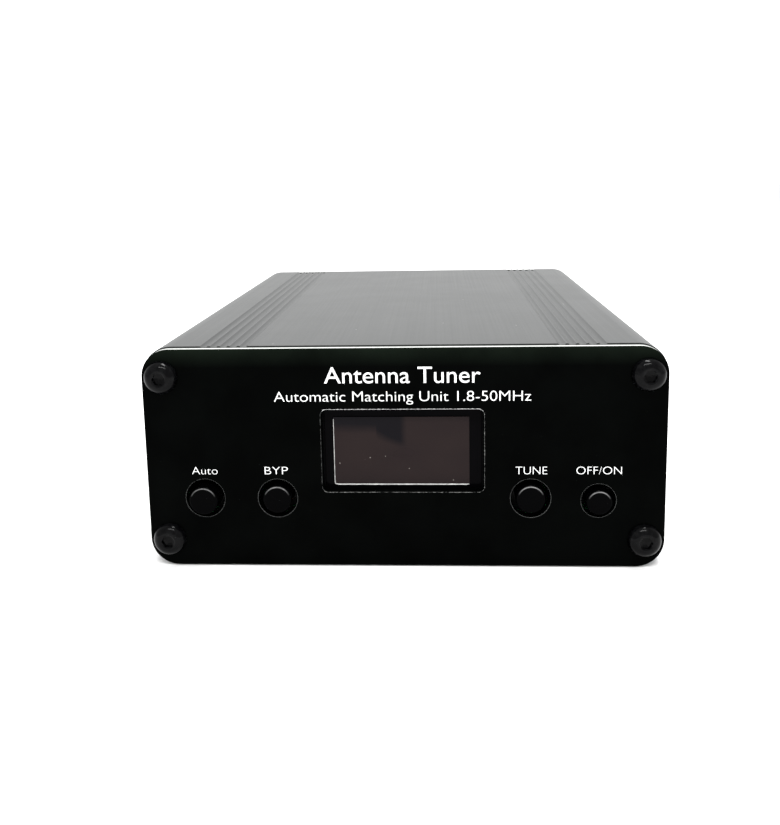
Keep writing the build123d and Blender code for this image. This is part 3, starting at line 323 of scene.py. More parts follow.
def glossy_key():
    """Black moulding of the button caps, with a little dust and a painted highlight: a pale band on each
    upper rim.
    """
    material, tree, shader = new_material("key_black", (0.0003, 0.0003, 0.0004), 0.1, specular=0.012)
    place = object_place(tree)
    clouds = noise(tree, place, 1.2, 3.0)
    tree.links.new(spread(tree, clouds, 0.3, 0.7, 0.09, 0.15), shader.inputs["Roughness"])
    dust = specks(tree, place, 1.1, 0.05, 0.85)
    tone = blend_colours(tree, dust, (0.0003, 0.0003, 0.0004), (0.01, 0.01, 0.01))
    _, y, z = axes(tree, place)
    # Painted highlight: a pale band along each cap's rim, brighter towards its top, on the front face only
    painted_rim_highlight = None
    for cap, _ in CAP_HOLES:
        spot, radius = middle(cap), (high(cap).x - low(cap).x) / 2
        from_edge = circle_distance(tree, place, spot.x, spot.z, radius - 0.3)
        edge = spread(tree, from_edge, 0.02, 0.13, 1.0, 0.0)
        upper = spread(tree, maths(tree, "SUBTRACT", z, spot.z), 0.3 * radius, 0.85 * radius)
        band = maths(tree, "MULTIPLY", edge, upper)
        painted_rim_highlight = band if painted_rim_highlight is None else maths(tree, "MAXIMUM", painted_rim_highlight, band)
    painted_rim_highlight = maths(tree, "MULTIPLY", painted_rim_highlight, spread(tree, clouds, 0.3, 0.55, 0.35, 1.0))
    front = maths(tree, "LESS_THAN", y, FRONT_FACE + 0.2)
    painted_rim_highlight = maths(tree, "MULTIPLY", painted_rim_highlight, front)
    tone = blend_colours(tree, painted_rim_highlight, tone, (0.19, 0.19, 0.19))
    tree.links.new(tone, shader.inputs["Base Color"])
    bump(tree, shader, noise(tree, place, 0.5, 2.0), 0.002, 0.4)
    return material


def oxide_screw():
    """Black oxide on turned steel: near black and glossy, with slightly paler patches."""
    material, tree, shader = new_material("screw_black", (0.0008, 0.0008, 0.0010), 0.12, specular=0.06)
    place = object_place(tree)
    clouds = noise(tree, place, 0.9, 4.0, 0.6)
    worn = spread(tree, clouds, 0.4, 0.75)
    tone = blend_colours(tree, worn, (0.0006, 0.0006, 0.0008), (0.003, 0.0031, 0.0033))
    tree.links.new(tone, shader.inputs["Base Color"])
    tree.links.new(spread(tree, clouds, 0.3, 0.7, 0.11, 0.2), shader.inputs["Roughness"])
    bump(tree, shader, noise(tree, place, 0.22, 3.0), 0.0025, 0.5)
    return material


def polariser():
    """Brownish polarising film: soft clouds, dust and a painted dark reflection from the upper left to the
    middle.
    """
    material, tree, shader = new_material("display_film", (0.02, 0.011, 0.011), 0.3, specular=0.06)
    place = object_place(tree)
    clouds = noise(tree, place, (9.0, 9.0, 6.0), 1.0)
    x, _, z = axes(tree, place)
    wander = maths(tree, "MULTIPLY_ADD", clouds, 2.4, -1.2)
    # Painted dark reflection on the left of the film: a wavy band under the top edge and a slant down towards
    # the middle
    top = maths(tree, "SUBTRACT", z, WINDOW_Z)
    wavy = maths(tree, "ADD", maths(tree, "SUBTRACT", top, 3.2), maths(tree, "MULTIPLY", wander, 0.6))
    shade = spread(tree, wavy, -0.5, 1.1)
    painted_reflection_slant = spread(tree, maths(tree, "ADD", maths(tree, "MULTIPLY_ADD", x, 0.55, top), wander), -0.5, 1.2)
    painted_reflection_middle = maths(tree, "MULTIPLY", painted_reflection_slant, maths(tree, "GREATER_THAN", x, -4.5))
    leftward = spread(tree, x, -0.4, 0.7, 1.0, 0.0)
    # The painted reflection's mask, kept to the left of the middle
    dark = maths(tree, "MULTIPLY", maths(tree, "MAXIMUM", shade, painted_reflection_middle), leftward)
    drift = spread(tree, clouds, 0.3, 0.7)
    warm = blend_colours(tree, drift, (0.0100, 0.0060, 0.0063), (0.0125, 0.0078, 0.0076))
    tone = blend_colours(tree, dark, warm, (0.0020, 0.0014, 0.0026))
    dust = specks(tree, place, 1.3, 0.06, 0.72)
    tree.links.new(blend_colours(tree, dust, tone, (0.24, 0.22, 0.20)), shader.inputs["Base Color"])
    tree.links.new(spread(tree, clouds, 0.3, 0.7, 0.26, 0.34), shader.inputs["Roughness"])
    bump(tree, shader, noise(tree, place, 2.5, 1.0), 0.002, 0.3)
    return material


def circuit_board(name, mask, trace):
    """Solder mask over copper: tracks show as paler lines, with a fine weave."""
    material, tree, shader = new_material(name, mask, 0.3)
    place = object_place(tree)
    values = {"Vector": scaled(tree, place, 3.2), "Scale": 1.0}
    cells = add_node(tree, "ShaderNodeTexVoronoi", values, feature="DISTANCE_TO_EDGE")
    tracks = maths(tree, "LESS_THAN", cells.outputs["Distance"], 0.08)
    tree.links.new(blend_colours(tree, tracks, mask, trace), shader.inputs["Base Color"])
    weave = bump(tree, shader, noise(tree, place, 0.5, 2.0), 0.01, 0.5)
    bump(tree, shader, tracks, 0.035, 0.6, under=weave)
    return material


def turned_metal(name, colour, roughness, line=0.12):
    """Plated or turned metal with fine rings round its axis and a slight drift in tone."""
    material, tree, shader = new_material(name, colour, roughness, 1.0)
    place = object_place(tree)
    clouds = noise(tree, place, 2.4, 4.0, 0.6)
    rings = noise(tree, place, (6.0, line, 6.0), 2.0)
    light = tuple(min(1.0, c * 1.08) for c in colour)
    dark = tuple(c * 0.82 for c in colour)
    tone = blend_colours(tree, spread(tree, clouds, 0.3, 0.7), dark, light)
    tree.links.new(tone, shader.inputs["Base Color"])
    satin = maths(tree, "MULTIPLY_ADD", spread(tree, rings, 0.3, 0.7), 0.4 * roughness, 0.8 * roughness)
    tree.links.new(satin, shader.inputs["Roughness"])
    bump(tree, shader, rings, 0.003, 0.4)
    return material


CAP_HOLES = (
    ("auto_button_cap", TACT_HOLE_RADIUS),
    ("bypass_button_cap", TACT_HOLE_RADIUS),
    ("tune_button_cap", TACT_HOLE_RADIUS),
    ("power_button_cap", POWER_HOLE_RADIUS),
)

MATERIALS = {
    "case_black": anodised_case(),
    "panel_black": solder_mask_panel("panel_front", True),
    "panel_rear": solder_mask_panel("panel_rear", False),
    "screw_black": oxide_screw(),
    "nickel_plate": turned_metal("nickel_plate", (0.70, 0.68, 0.64), 0.2),
    "steel_plain": turned_metal("steel_plain", (0.58, 0.58, 0.57), 0.3),
    "brass_plain": turned_metal("brass_plain", (0.72, 0.52, 0.22), 0.26),
    "silver_contact": turned_metal("silver_contact", (0.84, 0.82, 0.77), 0.22),
    "ptfe_white": plain("ptfe_white", (0.80, 0.79, 0.75), 0.45, vary=0.04),
    "display_glass": plain(
        "display_glass", (0.0010, 0.0009, 0.0012), 0.12, specular=0.012, size=6.0, depth=0.001
    ),
    "display_film": polariser(),
    # Pale strip material that stands for the highlight on the film's edge: a painted highlight
    "painted_film_highlight": plain("painted_film_highlight", (0.42, 0.42, 0.41), 0.35, vary=0.4, size=0.7, grain=0.15, depth=0.01),
    "board_black": circuit_board("board_black", (0.002, 0.0022, 0.0025), (0.005, 0.0055, 0.006)),
    "board_green": circuit_board("board_green", (0.01, 0.1, 0.035), (0.03, 0.2, 0.07)),
    "key_black": glossy_key(),
    "switch_plastic": plain("switch_plastic", (0.006, 0.006, 0.006), 0.45, specular=0.3),
    "gold_pin": turned_metal("gold_pin", (0.83, 0.62, 0.27), 0.25),
    "relay_case": plain("relay_case", (0.03, 0.09, 0.34), 0.35),
    "core_red": plain("core_red", (0.5, 0.035, 0.02), 0.45, grain=0.4, depth=0.02),
    "core_grey": plain("core_grey", (0.07, 0.07, 0.075), 0.6, grain=0.3, depth=0.02),
    "copper_wire": turned_metal("copper_wire", (0.72, 0.30, 0.14), 0.24),
    "ceramic_tan": plain("ceramic_tan", (0.5, 0.34, 0.17), 0.55, grain=0.15),
    "chip_black": plain("chip_black", (0.012, 0.012, 0.013), 0.55, grain=0.12, depth=0.008),
    "capacitor_sleeve": plain("capacitor_sleeve", (0.01, 0.016, 0.06), 0.28),
    "wire_red": plain("wire_red", (0.4, 0.015, 0.012), 0.4),
    "wire_green": plain("wire_green", (0.02, 0.2, 0.03), 0.4),
    "gasket_foam": plain("gasket_foam", (0.0015, 0.0015, 0.0017), 0.7, specular=0.01, grain=0.12, depth=0.02),
    "screen_ink": plain("screen_ink", (0.80, 0.81, 0.80), 0.5, vary=0.06, size=0.5, grain=0.1, depth=0.003),
    "studio_floor": plain(
        "studio_floor", (0.86, 0.86, 0.86), 0.9, specular=0.1, vary=0.01, size=40.0, grain=0.8
    ),
}


def dress(piece, material):
    """Gives a piece or CAD node one material."""
    piece.data.materials.clear()
    piece.data.materials.append(MATERIALS[material])


# ---------------------------------------------------------------- mesh helpers
def even_columns(count):
    """Angles all the way round, the first one again at the end."""
    return [(TURN * index / count, False) for index in range(count + 1)]


def sweep(shape, rows, centre, columns, seat=0.0, facing=1.0):
    """A closed skin about a Y axis: each row gives radius and height over the seat at a column."""
    grid = []
    for row in rows:
        line = []
        for column in columns:
            radius, height = row(*column) if callable(row) else row
            x = centre[0] + radius * math.cos(column[0])
            z = centre[1] + radius * math.sin(column[0])
            line.append(shape.verts.new(Vector((x, seat + facing * height, z)) * MM))
        grid.append(line)
    for first, second in zip(grid, grid[1:]):
        for index in range(len(columns) - 1):
            shape.faces.new((first[index], first[index + 1], second[index + 1], second[index]))


def finish_mesh(name, shape, body, slot, material=None, replaced=(), sharp=35.0):
    """Turns a bmesh into a piece that rides on a body, with its finish and the nodes it stands for."""
    bmesh.ops.remove_doubles(shape, verts=shape.verts, dist=0.0002 * MM)
    bmesh.ops.recalc_face_normals(shape, faces=shape.faces)
    mesh = bpy.data.meshes.new(name)
    shape.to_mesh(mesh)
    shape.free()
    mesh.shade_smooth()
    mesh.set_sharp_from_angle(angle=math.radians(sharp))
    piece = bpy.data.objects.new(name, mesh)
    bpy.context.scene.collection.objects.link(piece)
    dress(piece, material or slot)
    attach(piece, body)
    if replaced:
        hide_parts(*replaced)
    return piece


def arc(start, end, centre, count):
    """Points (radius, height) on an arc about a centre, from start to end, both included."""
    first = math.atan2(start[1] - centre[1], start[0] - centre[0])
    last = math.atan2(end[1] - centre[1], end[0] - centre[0])
    size = math.hypot(start[0] - centre[0], start[1] - centre[1])
    angles = [first + (last - first) * step / count for step in range(count + 1)]
    return [(centre[0] + size * math.cos(a), centre[1] + size * math.sin(a)) for a in angles]


def hexagon(flats):
    """The radius of a hexagon at an angle, with a corner at angle 0."""
    def radius(angle):
        return flats / 2 / math.cos((angle % (TURN / 6)) - TURN / 12)
    return radius


def thread(crest, root, pitch, start, end):
    """Rows of a screw thread between two heights; end may depend on the column."""
    phases = ((0.0, 0), (0.12, 0), (0.5, 1), (0.62, 1))
    finish = end if callable(end) else (lambda angle, cut: end)

    def row(shift, level):
        def place(angle, cut):
            height = start + pitch * (shift + angle / TURN)
            stop = finish(angle, cut)
            if height <= start or height >= stop:
                return root, min(max(height, start), stop)
            fade = min(1.0, (height - start) / (0.4 * pitch), (stop - height) / (0.4 * pitch))
            return root + level * fade * (crest - root), height
        return place

    longest = max(finish(0.0, False), finish(0.0, True))
    turns = math.ceil((longest - start) / pitch) + 1
    return [row(index - 1 + phase, level) for index in range(turns + 1) for phase, level in phases]


# ---------------------------------------------------------------- screws
def screw_rows(length):
    """An M3 button-head screw: shank, underside, domed head and hex socket."""
    sagitta = 0.33
    chord = math.hypot(HEAD_RADIUS - M3_RADIUS, HEAD_HEIGHT - 0.2)
    size = (chord * chord / 4 + sagitta * sagitta) / (2 * sagitta)
    along = Vector((M3_RADIUS - HEAD_RADIUS, HEAD_HEIGHT - 0.2)) / chord
    outward = Vector((along.y, -along.x))
    centre = Vector(((M3_RADIUS + HEAD_RADIUS) / 2, (HEAD_HEIGHT + 0.2) / 2)) - outward * (size - sagitta)
    dome = arc((HEAD_RADIUS, 0.2), (M3_RADIUS, HEAD_HEIGHT), centre, 14)
    hexed = hexagon(HEX_FLATS)
    floor = HEAD_HEIGHT - HEX_DEPTH
    rows = [(0.0, -length), (M3_RADIUS - 0.3, -length), (M3_RADIUS, -length + 0.3), (M3_RADIUS, 0.0)]
    rows += [(HEAD_RADIUS - 0.06, 0.0), (HEAD_RADIUS, 0.06)] + dome
    rows += [(1.28, HEAD_HEIGHT), (1.24, HEAD_HEIGHT - 0.015)]
    rows += [lambda angle, cut: (hexed(angle), HEAD_HEIGHT - 0.015 - 0.5 * (1.24 - hexed(angle)))]
    rows += [lambda angle, cut: (hexed(angle), floor), lambda angle, cut: (0.9 * hexed(angle), floor - 0.03)]
    rows += [(0.0, floor - 0.35)]
    return rows


def screws(name, places, seat, facing, slot, replaced):
    """A group of screws in one piece, with their heads out along Y."""
    shape = bmesh.new()
    for place in places:
        sweep(shape, screw_rows(M3_LENGTH), place, even_columns(96), seat, facing)
    return finish_mesh(name, shape, "case", slot, replaced=(replaced,), sharp=40.0)


def box_corners(node, inset):
    """The (x, z) centres of a group of four fasteners in the corners of a node's box."""
    first, last = low(node), high(node)
    return [
        (x, z)
        for x in (first.x + inset, last.x - inset)
        for z in (first.z + inset, last.z - inset)
    ]


for end, seat, facing in (("front", FRONT_FACE, -1.0), ("rear", REAR_FACE, 1.0)):
    group = f"{end}_panel_screws"
    screws(f"{end}_screws", box_corners(group, HEAD_RADIUS), seat, facing, "screw_black", group)


# ---------------------------------------------------------------- button caps
def button_cap(node, body, radius, bore):
    """A round cap with a softly domed face and a hollow back."""
    spot = middle(node)
    face = low(node).y
    depth = high(node).y - face
    edge = 0.42
    crown = 0.07
    rim = arc((radius, -edge - crown), (radius - edge, -crown), (radius - edge, -edge - crown), 8)
    face_steps = 6
    dome = [
        ((radius - edge) * (1 - step / face_steps), -crown * (1 - step / face_steps) ** 2)
        for step in range(1, face_steps + 1)
    ]
    rows = [(0.0, -1.5), (bore, -1.5), (bore, -depth), (radius - 0.1, -depth), (radius, -depth + 0.1)]
    shape = bmesh.new()
    sweep(shape, rows + rim + dome, (spot.x, spot.z), even_columns(96), face, -1.0)
    return finish_mesh(node.replace("_button", ""), shape, body, "key_black", replaced=(node,))


for key, _ in CAP_HOLES:
    key_width = (high(key).x - low(key).x) / 2
    key_bore = 1.15 if key.startswith("power") else 1.8
    button_cap(key, key.replace("_cap", ""), key_width, key_bore)


# ---------------------------------------------------------------- coaxial sockets
FLANGE_HALF = 12.7
FLANGE_RADIUS = 1.2
FLANGE_THICKNESS = 1.6
FLANGE_PITCH = 18.2
M3_CLEARANCE = 1.65
BOSS_RADIUS = 6.0
BOSS_LENGTH = 4.0
CORE_RADIUS = 5.0
MOUTH_RADIUS = 6.35
MOUTH_DEPTH = 7.5
THREAD_RADIUS = 7.94
THREAD_ROOT = 7.42
THREAD_PITCH = 1.058
NOTCH_DEPTH = 1.0
NOTCH_HALF_ANGLE = math.asin(0.8 / 7.15)


def circle(x, z, radius, count=48):
    """Points round a circle in the XZ plane."""
    return [
        (x + radius * math.cos(TURN * step / count), z + radius * math.sin(TURN * step / count))
        for step in range(count)
    ]


def rounded_box(x, z, half_x, half_z, radius, count=8):
    """Points round a rectangle with rounded corners in the XZ plane."""
    points = []
    for quarter, (side, level) in enumerate(((1, 1), (-1, 1), (-1, -1), (1, -1))):
        for step in range(count + 1):
            angle = TURN / 4 * (quarter + step / count)
            across = x + side * (half_x - radius) + radius * math.cos(angle)
            points.append((across, z + level * (half_z - radius) + radius * math.sin(angle)))
    return points


def plate(outlines, start, end, bevel):
    """A mesh of a flat plate between two depths, with holes and bevelled edges."""
    data = bpy.data.curves.new("plate", "CURVE")
    data.dimensions = "2D"
    data.fill_mode = "BOTH"
    data.extrude = (end - start) / 2 - bevel
    data.bevel_depth = bevel
    data.bevel_resolution = 2
    data.offset = -bevel
    for outline in outlines:
        spline = data.splines.new("POLY")
        spline.points.add(len(outline) - 1)
        for point, (x, z) in zip(spline.points, outline):
            point.co = (x, z, 0.0, 1.0)
        spline.use_cyclic_u = True
    return curve_mesh(data, Matrix(((1, 0, 0, 0), (0, 0, -1, (start + end) / 2), (0, 1, 0, 0), (0, 0, 0, 1))))


def curve_mesh(data, turn):
    """The mesh of a curve or text, in millimetres, turned into place and scaled to metres."""
    holder = bpy.data.objects.new("holder", data)
    bpy.context.scene.collection.objects.link(holder)
    bpy.context.view_layer.update()
    mesh = bpy.data.meshes.new_from_object(holder)
    bpy.data.objects.remove(holder)
    mesh.transform(Matrix.Scale(MM, 4) @ turn)
    return mesh


def rim_columns():
    """Columns round the barrel, doubled at the sides of the four notches in its rim."""
    columns = []
    for quarter in range(4):
        centre = TURN / 8 + TURN / 4 * quarter
        start = TURN / 4 * quarter
        plain_arc = centre - NOTCH_HALF_ANGLE - start
        before = [(start + plain_arc * step / 10, False) for step in range(11)]
        inside = [(centre + NOTCH_HALF_ANGLE * (step / 3 - 1), True) for step in range(7)]
        after = [(centre + NOTCH_HALF_ANGLE + plain_arc * step / 10, False) for step in range(10)]
        columns += before + inside + after
    return columns + [(TURN, False)]


def socket_body(name):
    """A flanged barrel with a threaded outside and a notched rim."""
    node = f"{name}_socket_body"
    spot = middle(node)
    barrel = high(node).y - REAR_FACE - FLANGE_THICKNESS
    seat = REAR_FACE + FLANGE_THICKNESS
    back = -FLANGE_THICKNESS - BOSS_LENGTH

    def rim(radius, drop):
        return lambda angle, cut: (radius, barrel - (NOTCH_DEPTH if cut else drop))

    def thread_end(angle, cut):
        return barrel - (NOTCH_DEPTH if cut else 0.62)

    rows = [(CORE_RADIUS, back), (BOSS_RADIUS, back), (BOSS_RADIUS, -0.04), (THREAD_ROOT, -0.04)]
    rows += thread(THREAD_RADIUS, THREAD_ROOT, THREAD_PITCH, 0.3, thread_end)
    rows += [rim(THREAD_ROOT, 0.5), rim(THREAD_ROOT - 0.1, 0.05), rim(THREAD_ROOT - 0.16, 0.0)]
    rows += [rim(MOUTH_RADIUS + 0.14, 0.0), rim(MOUTH_RADIUS, 0.14)]
    rows += [(MOUTH_RADIUS, barrel - MOUTH_DEPTH), (CORE_RADIUS, barrel - MOUTH_DEPTH), (CORE_RADIUS, back)]
    shape = bmesh.new()
    sweep(shape, rows, (spot.x, spot.z), rim_columns(), seat)
    holes = [
        circle(spot.x + side * FLANGE_PITCH / 2, spot.z + level * FLANGE_PITCH / 2, M3_CLEARANCE)
        for side in (-1, 1)
        for level in (-1, 1)
    ]
    outline = rounded_box(spot.x, spot.z, FLANGE_HALF, FLANGE_HALF, FLANGE_RADIUS)
    opening = circle(spot.x, spot.z, BOSS_RADIUS + 0.01, 72)
    shape.from_mesh(plate([outline, opening, *holes], REAR_FACE, seat, 0.16))
    return finish_mesh(f"{name}_socket", shape, "case", "nickel_plate", replaced=(node,), sharp=32.0)


socket_body("antenna")
socket_body("radio")
socket_places = [
    (middle(f"{name}_socket_body").x + side * FLANGE_PITCH / 2, MID_Z + level * FLANGE_PITCH / 2)
    for name in ("antenna", "radio")
    for side in (-1, 1)
    for level in (-1, 1)
]
screws("flange_screws", socket_places, REAR_FACE + FLANGE_THICKNESS, 1.0, "steel_plain", "socket_screws")


# ---------------------------------------------------------------- ground terminal
GROUND = (middle("ground_stud").x, middle("ground_stud").z)
M4_RADIUS = 2.0
M4_ROOT = 1.62
M4_PITCH = 0.7
M4_BORE = 2.05


def ground_stud():
    """An M4 machine screw from inside the rear panel, its thread showing beyond the nuts."""
    first, last = low("ground_stud").y, high("ground_stud").y
    head = 2.4
    seat = first + head
    length = last - seat
    rows = [(0.0, -head), (3.2, -head), (3.6, -head + 0.4), (3.6, 0.0), (M4_ROOT, 0.0)]
    rows += thread(M4_RADIUS, M4_ROOT, M4_PITCH, 0.2, length - 0.25)
    rows += [(M4_ROOT, length - 0.2), (M4_ROOT - 0.2, length), (0.0, length)]
    shape = bmesh.new()
    sweep(shape, rows, GROUND, even_columns(64), seat)
    return finish_mesh("ground_stud_thread", shape, "case", "steel_plain", replaced=("ground_stud",))


def hex_nut():
    """A hexagon nut with both faces chamfered to a circle, and countersunk at both ends."""
    start, end = low("ground_hex_nut").y, high("ground_hex_nut").y
    thick = end - start
    flats = high("ground_hex_nut").x - low("ground_hex_nut").x
    turned = flats > high("ground_hex_nut").z - low("ground_hex_nut").z
    flats = min(flats, high("ground_hex_nut").z - low("ground_hex_nut").z)
    hexed = hexagon(flats)
    circle_radius = 0.96 * flats / 2

    def outer(angle):
        return hexed(angle if turned else angle + TURN / 12)

    def fall(angle):
        return (outer(angle) - circle_radius) * 0.55

    rows = [(M4_BORE, 0.3), (M4_BORE + 0.3, 0.0), (circle_radius, 0.0)]
    rows += [lambda angle, cut: (outer(angle), fall(angle))]
    rows += [lambda angle, cut: (outer(angle), thick - fall(angle))]
    rows += [(circle_radius, thick), (M4_BORE + 0.3, thick), (M4_BORE, thick - 0.3), (M4_BORE, 0.3)]
    shape = bmesh.new()
    sweep(shape, rows, GROUND, even_columns(96), start)
    return finish_mesh(
        "ground_nut_hex", shape, "case", "steel_plain", replaced=("ground_hex_nut",), sharp=25.0
    )


def flat_washer():
    """A stamped washer with one rounded and one sharp edge."""
    start, end = low("ground_flat_washer").y, high("ground_flat_washer").y
    outer = (high("ground_flat_washer").x - low("ground_flat_washer").x) / 2
    thick = end - start
    rows = [(2.08, 0.0), (outer - 0.05, 0.0), (outer, 0.05)]
    rows += arc((outer, thick - 0.2), (outer - 0.2, thick), (outer - 0.2, thick - 0.2), 5)
    rows += [(2.2, thick), (2.08, thick - 0.12), (2.08, 0.0)]
    shape = bmesh.new()
    sweep(shape, rows, GROUND, even_columns(96), start)
    return finish_mesh(
        "ground_washer_flat", shape, "ground_washer", "steel_plain", replaced=("ground_flat_washer",)
    )


KNURLS = 28
KNURL_RADIUS = 0.32


def knurl_columns():
    """Columns round the thumb nut, close together across each groove."""
    half = math.asin(KNURL_RADIUS / 5.2)
    pitch = TURN / KNURLS
    columns = []
    for index in range(KNURLS):
        columns += [(pitch * index + half * (step / 4 - 1), False) for step in range(9)]
        columns.append((pitch * (index + 0.5), False))
    return columns + [(TURN - half, False)]


def thumb_nut():
    """A turned collar under a knurled knob."""
    start, end = low("ground_thumb_nut").y, high("ground_thumb_nut").y
    knob = high("ground_thumb_nut").x
    thick = end - start
    collar = 1.4
    pitch = TURN / KNURLS

    def cut_radius(size):
        def radius(angle):
            off = (angle + pitch / 2) % pitch - pitch / 2
            reach = KNURL_RADIUS**2 - (5.2 * math.sin(off)) ** 2
            return min(size, 5.2 * math.cos(off) - math.sqrt(reach)) if reach > 0 else size
        return radius

    def ribbed(size, height):
        radius = cut_radius(size)
        return lambda angle, cut: (radius(angle), height)

    rows = [(M4_BORE, 0.0), (3.5, 0.0), (3.6, 0.1), (3.6, collar - 0.1), (3.7, collar)]
    rows += [ribbed(knob - 0.4, collar), ribbed(knob - 0.1, collar + 0.26), ribbed(knob, collar + 0.45)]
    rows += [ribbed(knob, thick - 0.45), ribbed(knob - 0.1, thick - 0.2), ribbed(knob - 0.4, thick - 0.02)]
    rows += [(3.9, thick), (3.6, thick - 0.06), (2.6, thick - 0.06), (M4_BORE, thick - 0.5), (M4_BORE, 0.0)]
    shape = bmesh.new()
    sweep(shape, rows, GROUND, knurl_columns(), start)
    return finish_mesh(
        "ground_nut_thumb", shape, "ground_nut", "brass_plain", replaced=("ground_thumb_nut",), sharp=30.0
    )


ground_stud()
hex_nut()
flat_washer()
thumb_nut()


# ---------------------------------------------------------------- painted highlight on the display film's edge
def painted_film_highlight():
    """A painted highlight: a thin pale strip along the polarising film's left and bottom edges."""
    first, last = low("display_polariser"), high("display_polariser")
    y = first.y + 0.02
    left = first.x + 0.02
    bottom = first.z + 0.02
    # x, z and thickness down the left side, round the corner and along the bottom
    path = [(left, last.z - 0.3, 0.05), (left, last.z - 4.0, 0.06), (left, first.z + 0.6, 0.07)]
    path += [(first.x + 0.12, first.z + 0.12, 0.09), (first.x + 0.7, bottom, 0.11)]
    path += [(middle("display_polariser").x, bottom, 0.12), (last.x - 0.5, bottom, 0.11)]
    path += [(last.x - 0.05, first.z + 0.05, 0.06)]
    sides = 10
    shape = bmesh.new()
    loops = []
    for index, (x, z, size) in enumerate(path):
        before, after = path[max(index - 1, 0)], path[min(index + 1, len(path) - 1)]
        along = Vector((after[0] - before[0], 0.0, after[1] - before[1])).normalized()
        across = Vector((-along.z, 0.0, along.x))
        loop = []
        for step in range(sides):
            angle = TURN * step / sides
            rise = Vector((0.0, size * math.sin(angle), 0.0))
            spot = Vector((x, y, z)) + across * size * math.cos(angle) + rise
            loop.append(shape.verts.new(spot * MM))
        loops.append(loop)
    for first_loop, second_loop in zip(loops, loops[1:]):
        for step in range(sides):
            after = (step + 1) % sides
            shape.faces.new((first_loop[step], first_loop[after], second_loop[after], second_loop[step]))
    shape.faces.new(loops[0])
    shape.faces.new(loops[-1])
    return finish_mesh("display_painted_film_highlight", shape, "case", "display_film", "painted_film_highlight")


def gasket():
    """A thin black ring of foam round the glass, behind the panel's window."""
    spot = middle("display_glass")
    half = (high("display_glass") - low("display_glass")) / 2
    rear = high("front_panel").y
    outlines = [
        rounded_box(spot.x, spot.z, half.x + 1.2, half.z + 0.9, 0.8),
        rounded_box(spot.x, spot.z, half.x + 0.06, half.z + 0.06, 0.2),
    ]
    shape = bmesh.new()
    shape.from_mesh(plate(outlines, rear + 0.06, high("display_glass").y - 0.1, 0.08))
    return finish_mesh("display_gasket", shape, "case", "switch_plastic", "gasket_foam")


painted_film_highlight()
gasket()


# ---------------------------------------------------------------- lettering
INK = 0.02
INK_SUNK = 0.004


def letter_mesh(words, weight):
    """A thin flat mesh of a line of text at size 1."""
    data = bpy.data.curves.new("words", "FONT")
    data.body = words
    data.size = 1.0
    data.offset = weight
    data.extrude = (INK + INK_SUNK) / 2
    data.resolution_u = 6
    return curve_mesh(data, Matrix.Identity(4))


def text_bounds(mesh):
    """Lowest and highest x and y of a text mesh, in millimetres."""
    xs = [vertex.co.x / MM for vertex in mesh.vertices]
    ys = [vertex.co.y / MM for vertex in mesh.vertices]
    return min(xs), max(xs), min(ys), max(ys)


def lettering(name, lines, face, facing):
    """Printed lines on one panel, in one piece."""
    shape = bmesh.new()
    for words, centre_x, above_middle, width, height, weight in lines:
        capital = text_bounds(letter_mesh("H", weight))[3]
        mesh = letter_mesh(words, weight)
        left, right, _, _ = text_bounds(mesh)
        grow = width / (right - left)
        lift = face + facing * (INK - INK_SUNK) / 2
        place = Matrix(
            (
                (-facing * grow, 0, 0, (centre_x + facing * grow * (left + right) / 2) * MM),
                (0, 0, facing, lift * MM),
                (0, height / capital, 0, (MID_Z + above_middle) * MM),
                (0, 0, 0, 1),
            )
        )
        mesh.transform(place)
        shape.from_mesh(mesh)
    return finish_mesh(name, shape, "case", "panel_black", "screen_ink")


# Words, centre x, baseline over the middle of the panel, width, capital height, weight
FRONT_LINES = (
    ("Antenna Tuner", 0.1, 13.2, 26.2, 2.75, 0.0),
    ("Automatic Matching Unit 1.8-50MHz", 0.0, 10.05, 43.2, 1.72, -0.012),
    ("Auto", -34.1, -2.75, 4.45, 1.33, -0.018),
    ("BYP", -21.7, -2.75, 4.0, 1.33, -0.018),
    ("TUNE", 21.7, -2.75, 5.3, 1.33, -0.018),
    ("OFF/ON", 33.0, -2.75, 7.55, 1.33, -0.018),
)
REAR_LINES = (
    ("ANT", -24.0, 14.0, 5.2, 2.0, 0.012),
    ("RADIO", 24.0, 14.0, 8.6, 2.0, 0.012),
    ("DC 10-15V", 0.0, 14.0, 10.6, 1.6, 0.01),
    ("GND", 0.0, -14.8, 4.6, 1.6, 0.01),
)
lettering("front_lettering", FRONT_LINES, FRONT_FACE, -1.0)
lettering("rear_lettering", REAR_LINES, REAR_FACE, 1.0)


# ---------------------------------------------------------------- camera and studio
def camera_turn(pitch, roll, yaw):
    """The camera's rotation: level and looking along +Y, then pitched, rolled and turned, in degrees."""
    level = Matrix(((1, 0, 0), (0, 0, -1), (0, 1, 0)))
    turns = Matrix.Rotation(math.radians(yaw), 3, "Z") @ Matrix.Rotation(math.radians(roll), 3, "Y")
    return turns @ Matrix.Rotation(math.radians(pitch), 3, "X") @ level


# Pitch, roll and yaw in degrees; place, lens and sensor in millimetres; shift in sensor widths
CAMERA_TURNS = (9.044, 3.088, -0.59)
CAMERA_PLACE = (6.17, -200.07, MID_Z + 48.38)
CAMERA_LENS = 38.44
CAMERA_SENSOR = 36.0
CAMERA_SHIFT = -0.124

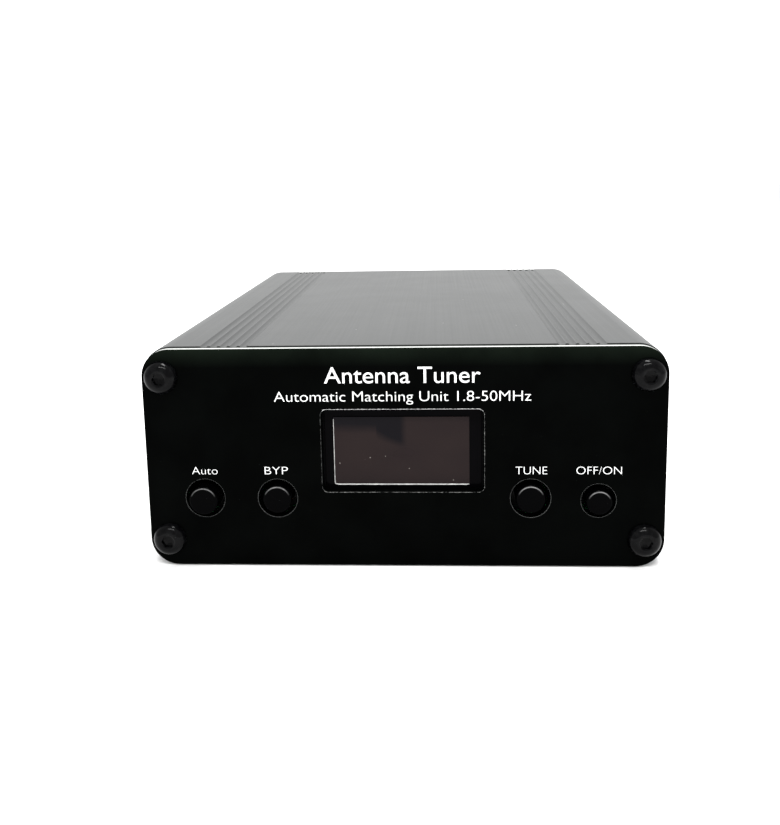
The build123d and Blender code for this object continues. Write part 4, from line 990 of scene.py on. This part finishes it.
# Name, place, the point it looks at, width, depth (all in metres) and watts
SOFTBOXES = (
    ("key", (0.03, -0.02, 0.55), (0, -0.05, 0.02), 0.22, 0.1, 3.2),
    ("back", (0.05, 0.3, 0.6), (0, 0, 0.02), 0.3, 0.2, 2.0),
    ("front", (0.0, -0.33, 0.42), (0, -0.06, 0.02), 0.3, 0.05, 1.8),
)
SKY_STRENGTH = 1.18
FLOOR_HALF = 3.0


def make_camera():
    """The camera at the photograph's angle."""
    data = bpy.data.cameras.new("camera")
    camera = bpy.data.objects.new("camera", data)
    bpy.context.scene.collection.objects.link(camera)
    bpy.context.scene.camera = camera
    rows = camera_turn(*CAMERA_TURNS)
    turn = Matrix((rows[0], -rows[1], -rows[2])).transposed()
    camera.matrix_world = Matrix.Translation(Vector(CAMERA_PLACE) * MM) @ turn.to_4x4()
    data.lens = CAMERA_LENS
    data.sensor_width = CAMERA_SENSOR
    data.shift_y = CAMERA_SHIFT
    data.clip_start = 0.01
    data.clip_end = 20.0
    return camera


def softbox(name, place, target, width, depth, watts):
    """A rectangular soft light that looks at a point. Places and sizes are in metres."""
    data = bpy.data.lights.new(name, "AREA")
    data.shape = "RECTANGLE"
    data.size = width
    data.size_y = depth
    data.energy = watts
    light = bpy.data.objects.new(name, data)
    bpy.context.scene.collection.objects.link(light)
    light.location = place
    light.rotation_euler = (Vector(target) - Vector(place)).to_track_quat("-Z", "Y").to_euler()
    return light


def make_studio():
    """A pale floor under an even white sky, with softboxes overhead, behind and in front."""
    half = FLOOR_HALF
    mesh = bpy.data.meshes.new("floor")
    corners = [(-half, -half, 0), (half, -half, 0), (half, half, 0), (-half, half, 0)]
    mesh.from_pydata(corners, [], [(0, 1, 2, 3)])
    floor = bpy.data.objects.new("floor", mesh)
    bpy.context.scene.collection.objects.link(floor)
    dress(floor, "studio_floor")
    world = bpy.data.worlds.new("studio")
    bpy.context.scene.world = world
    world.use_nodes = True
    sky = world.node_tree.nodes["Background"]
    sky.inputs["Color"].default_value = (1.0, 1.0, 1.0, 1.0)
    sky.inputs["Strength"].default_value = SKY_STRENGTH
    bpy.context.scene.view_settings.view_transform = "Standard"
    for box in SOFTBOXES:
        softbox(*box)


make_camera()
make_studio()
for part in frame["record"]["subparts"]:
    dress(NODES[part["node"]], part["material_slot"])
dress(NODES["rear_panel"], "panel_rear")
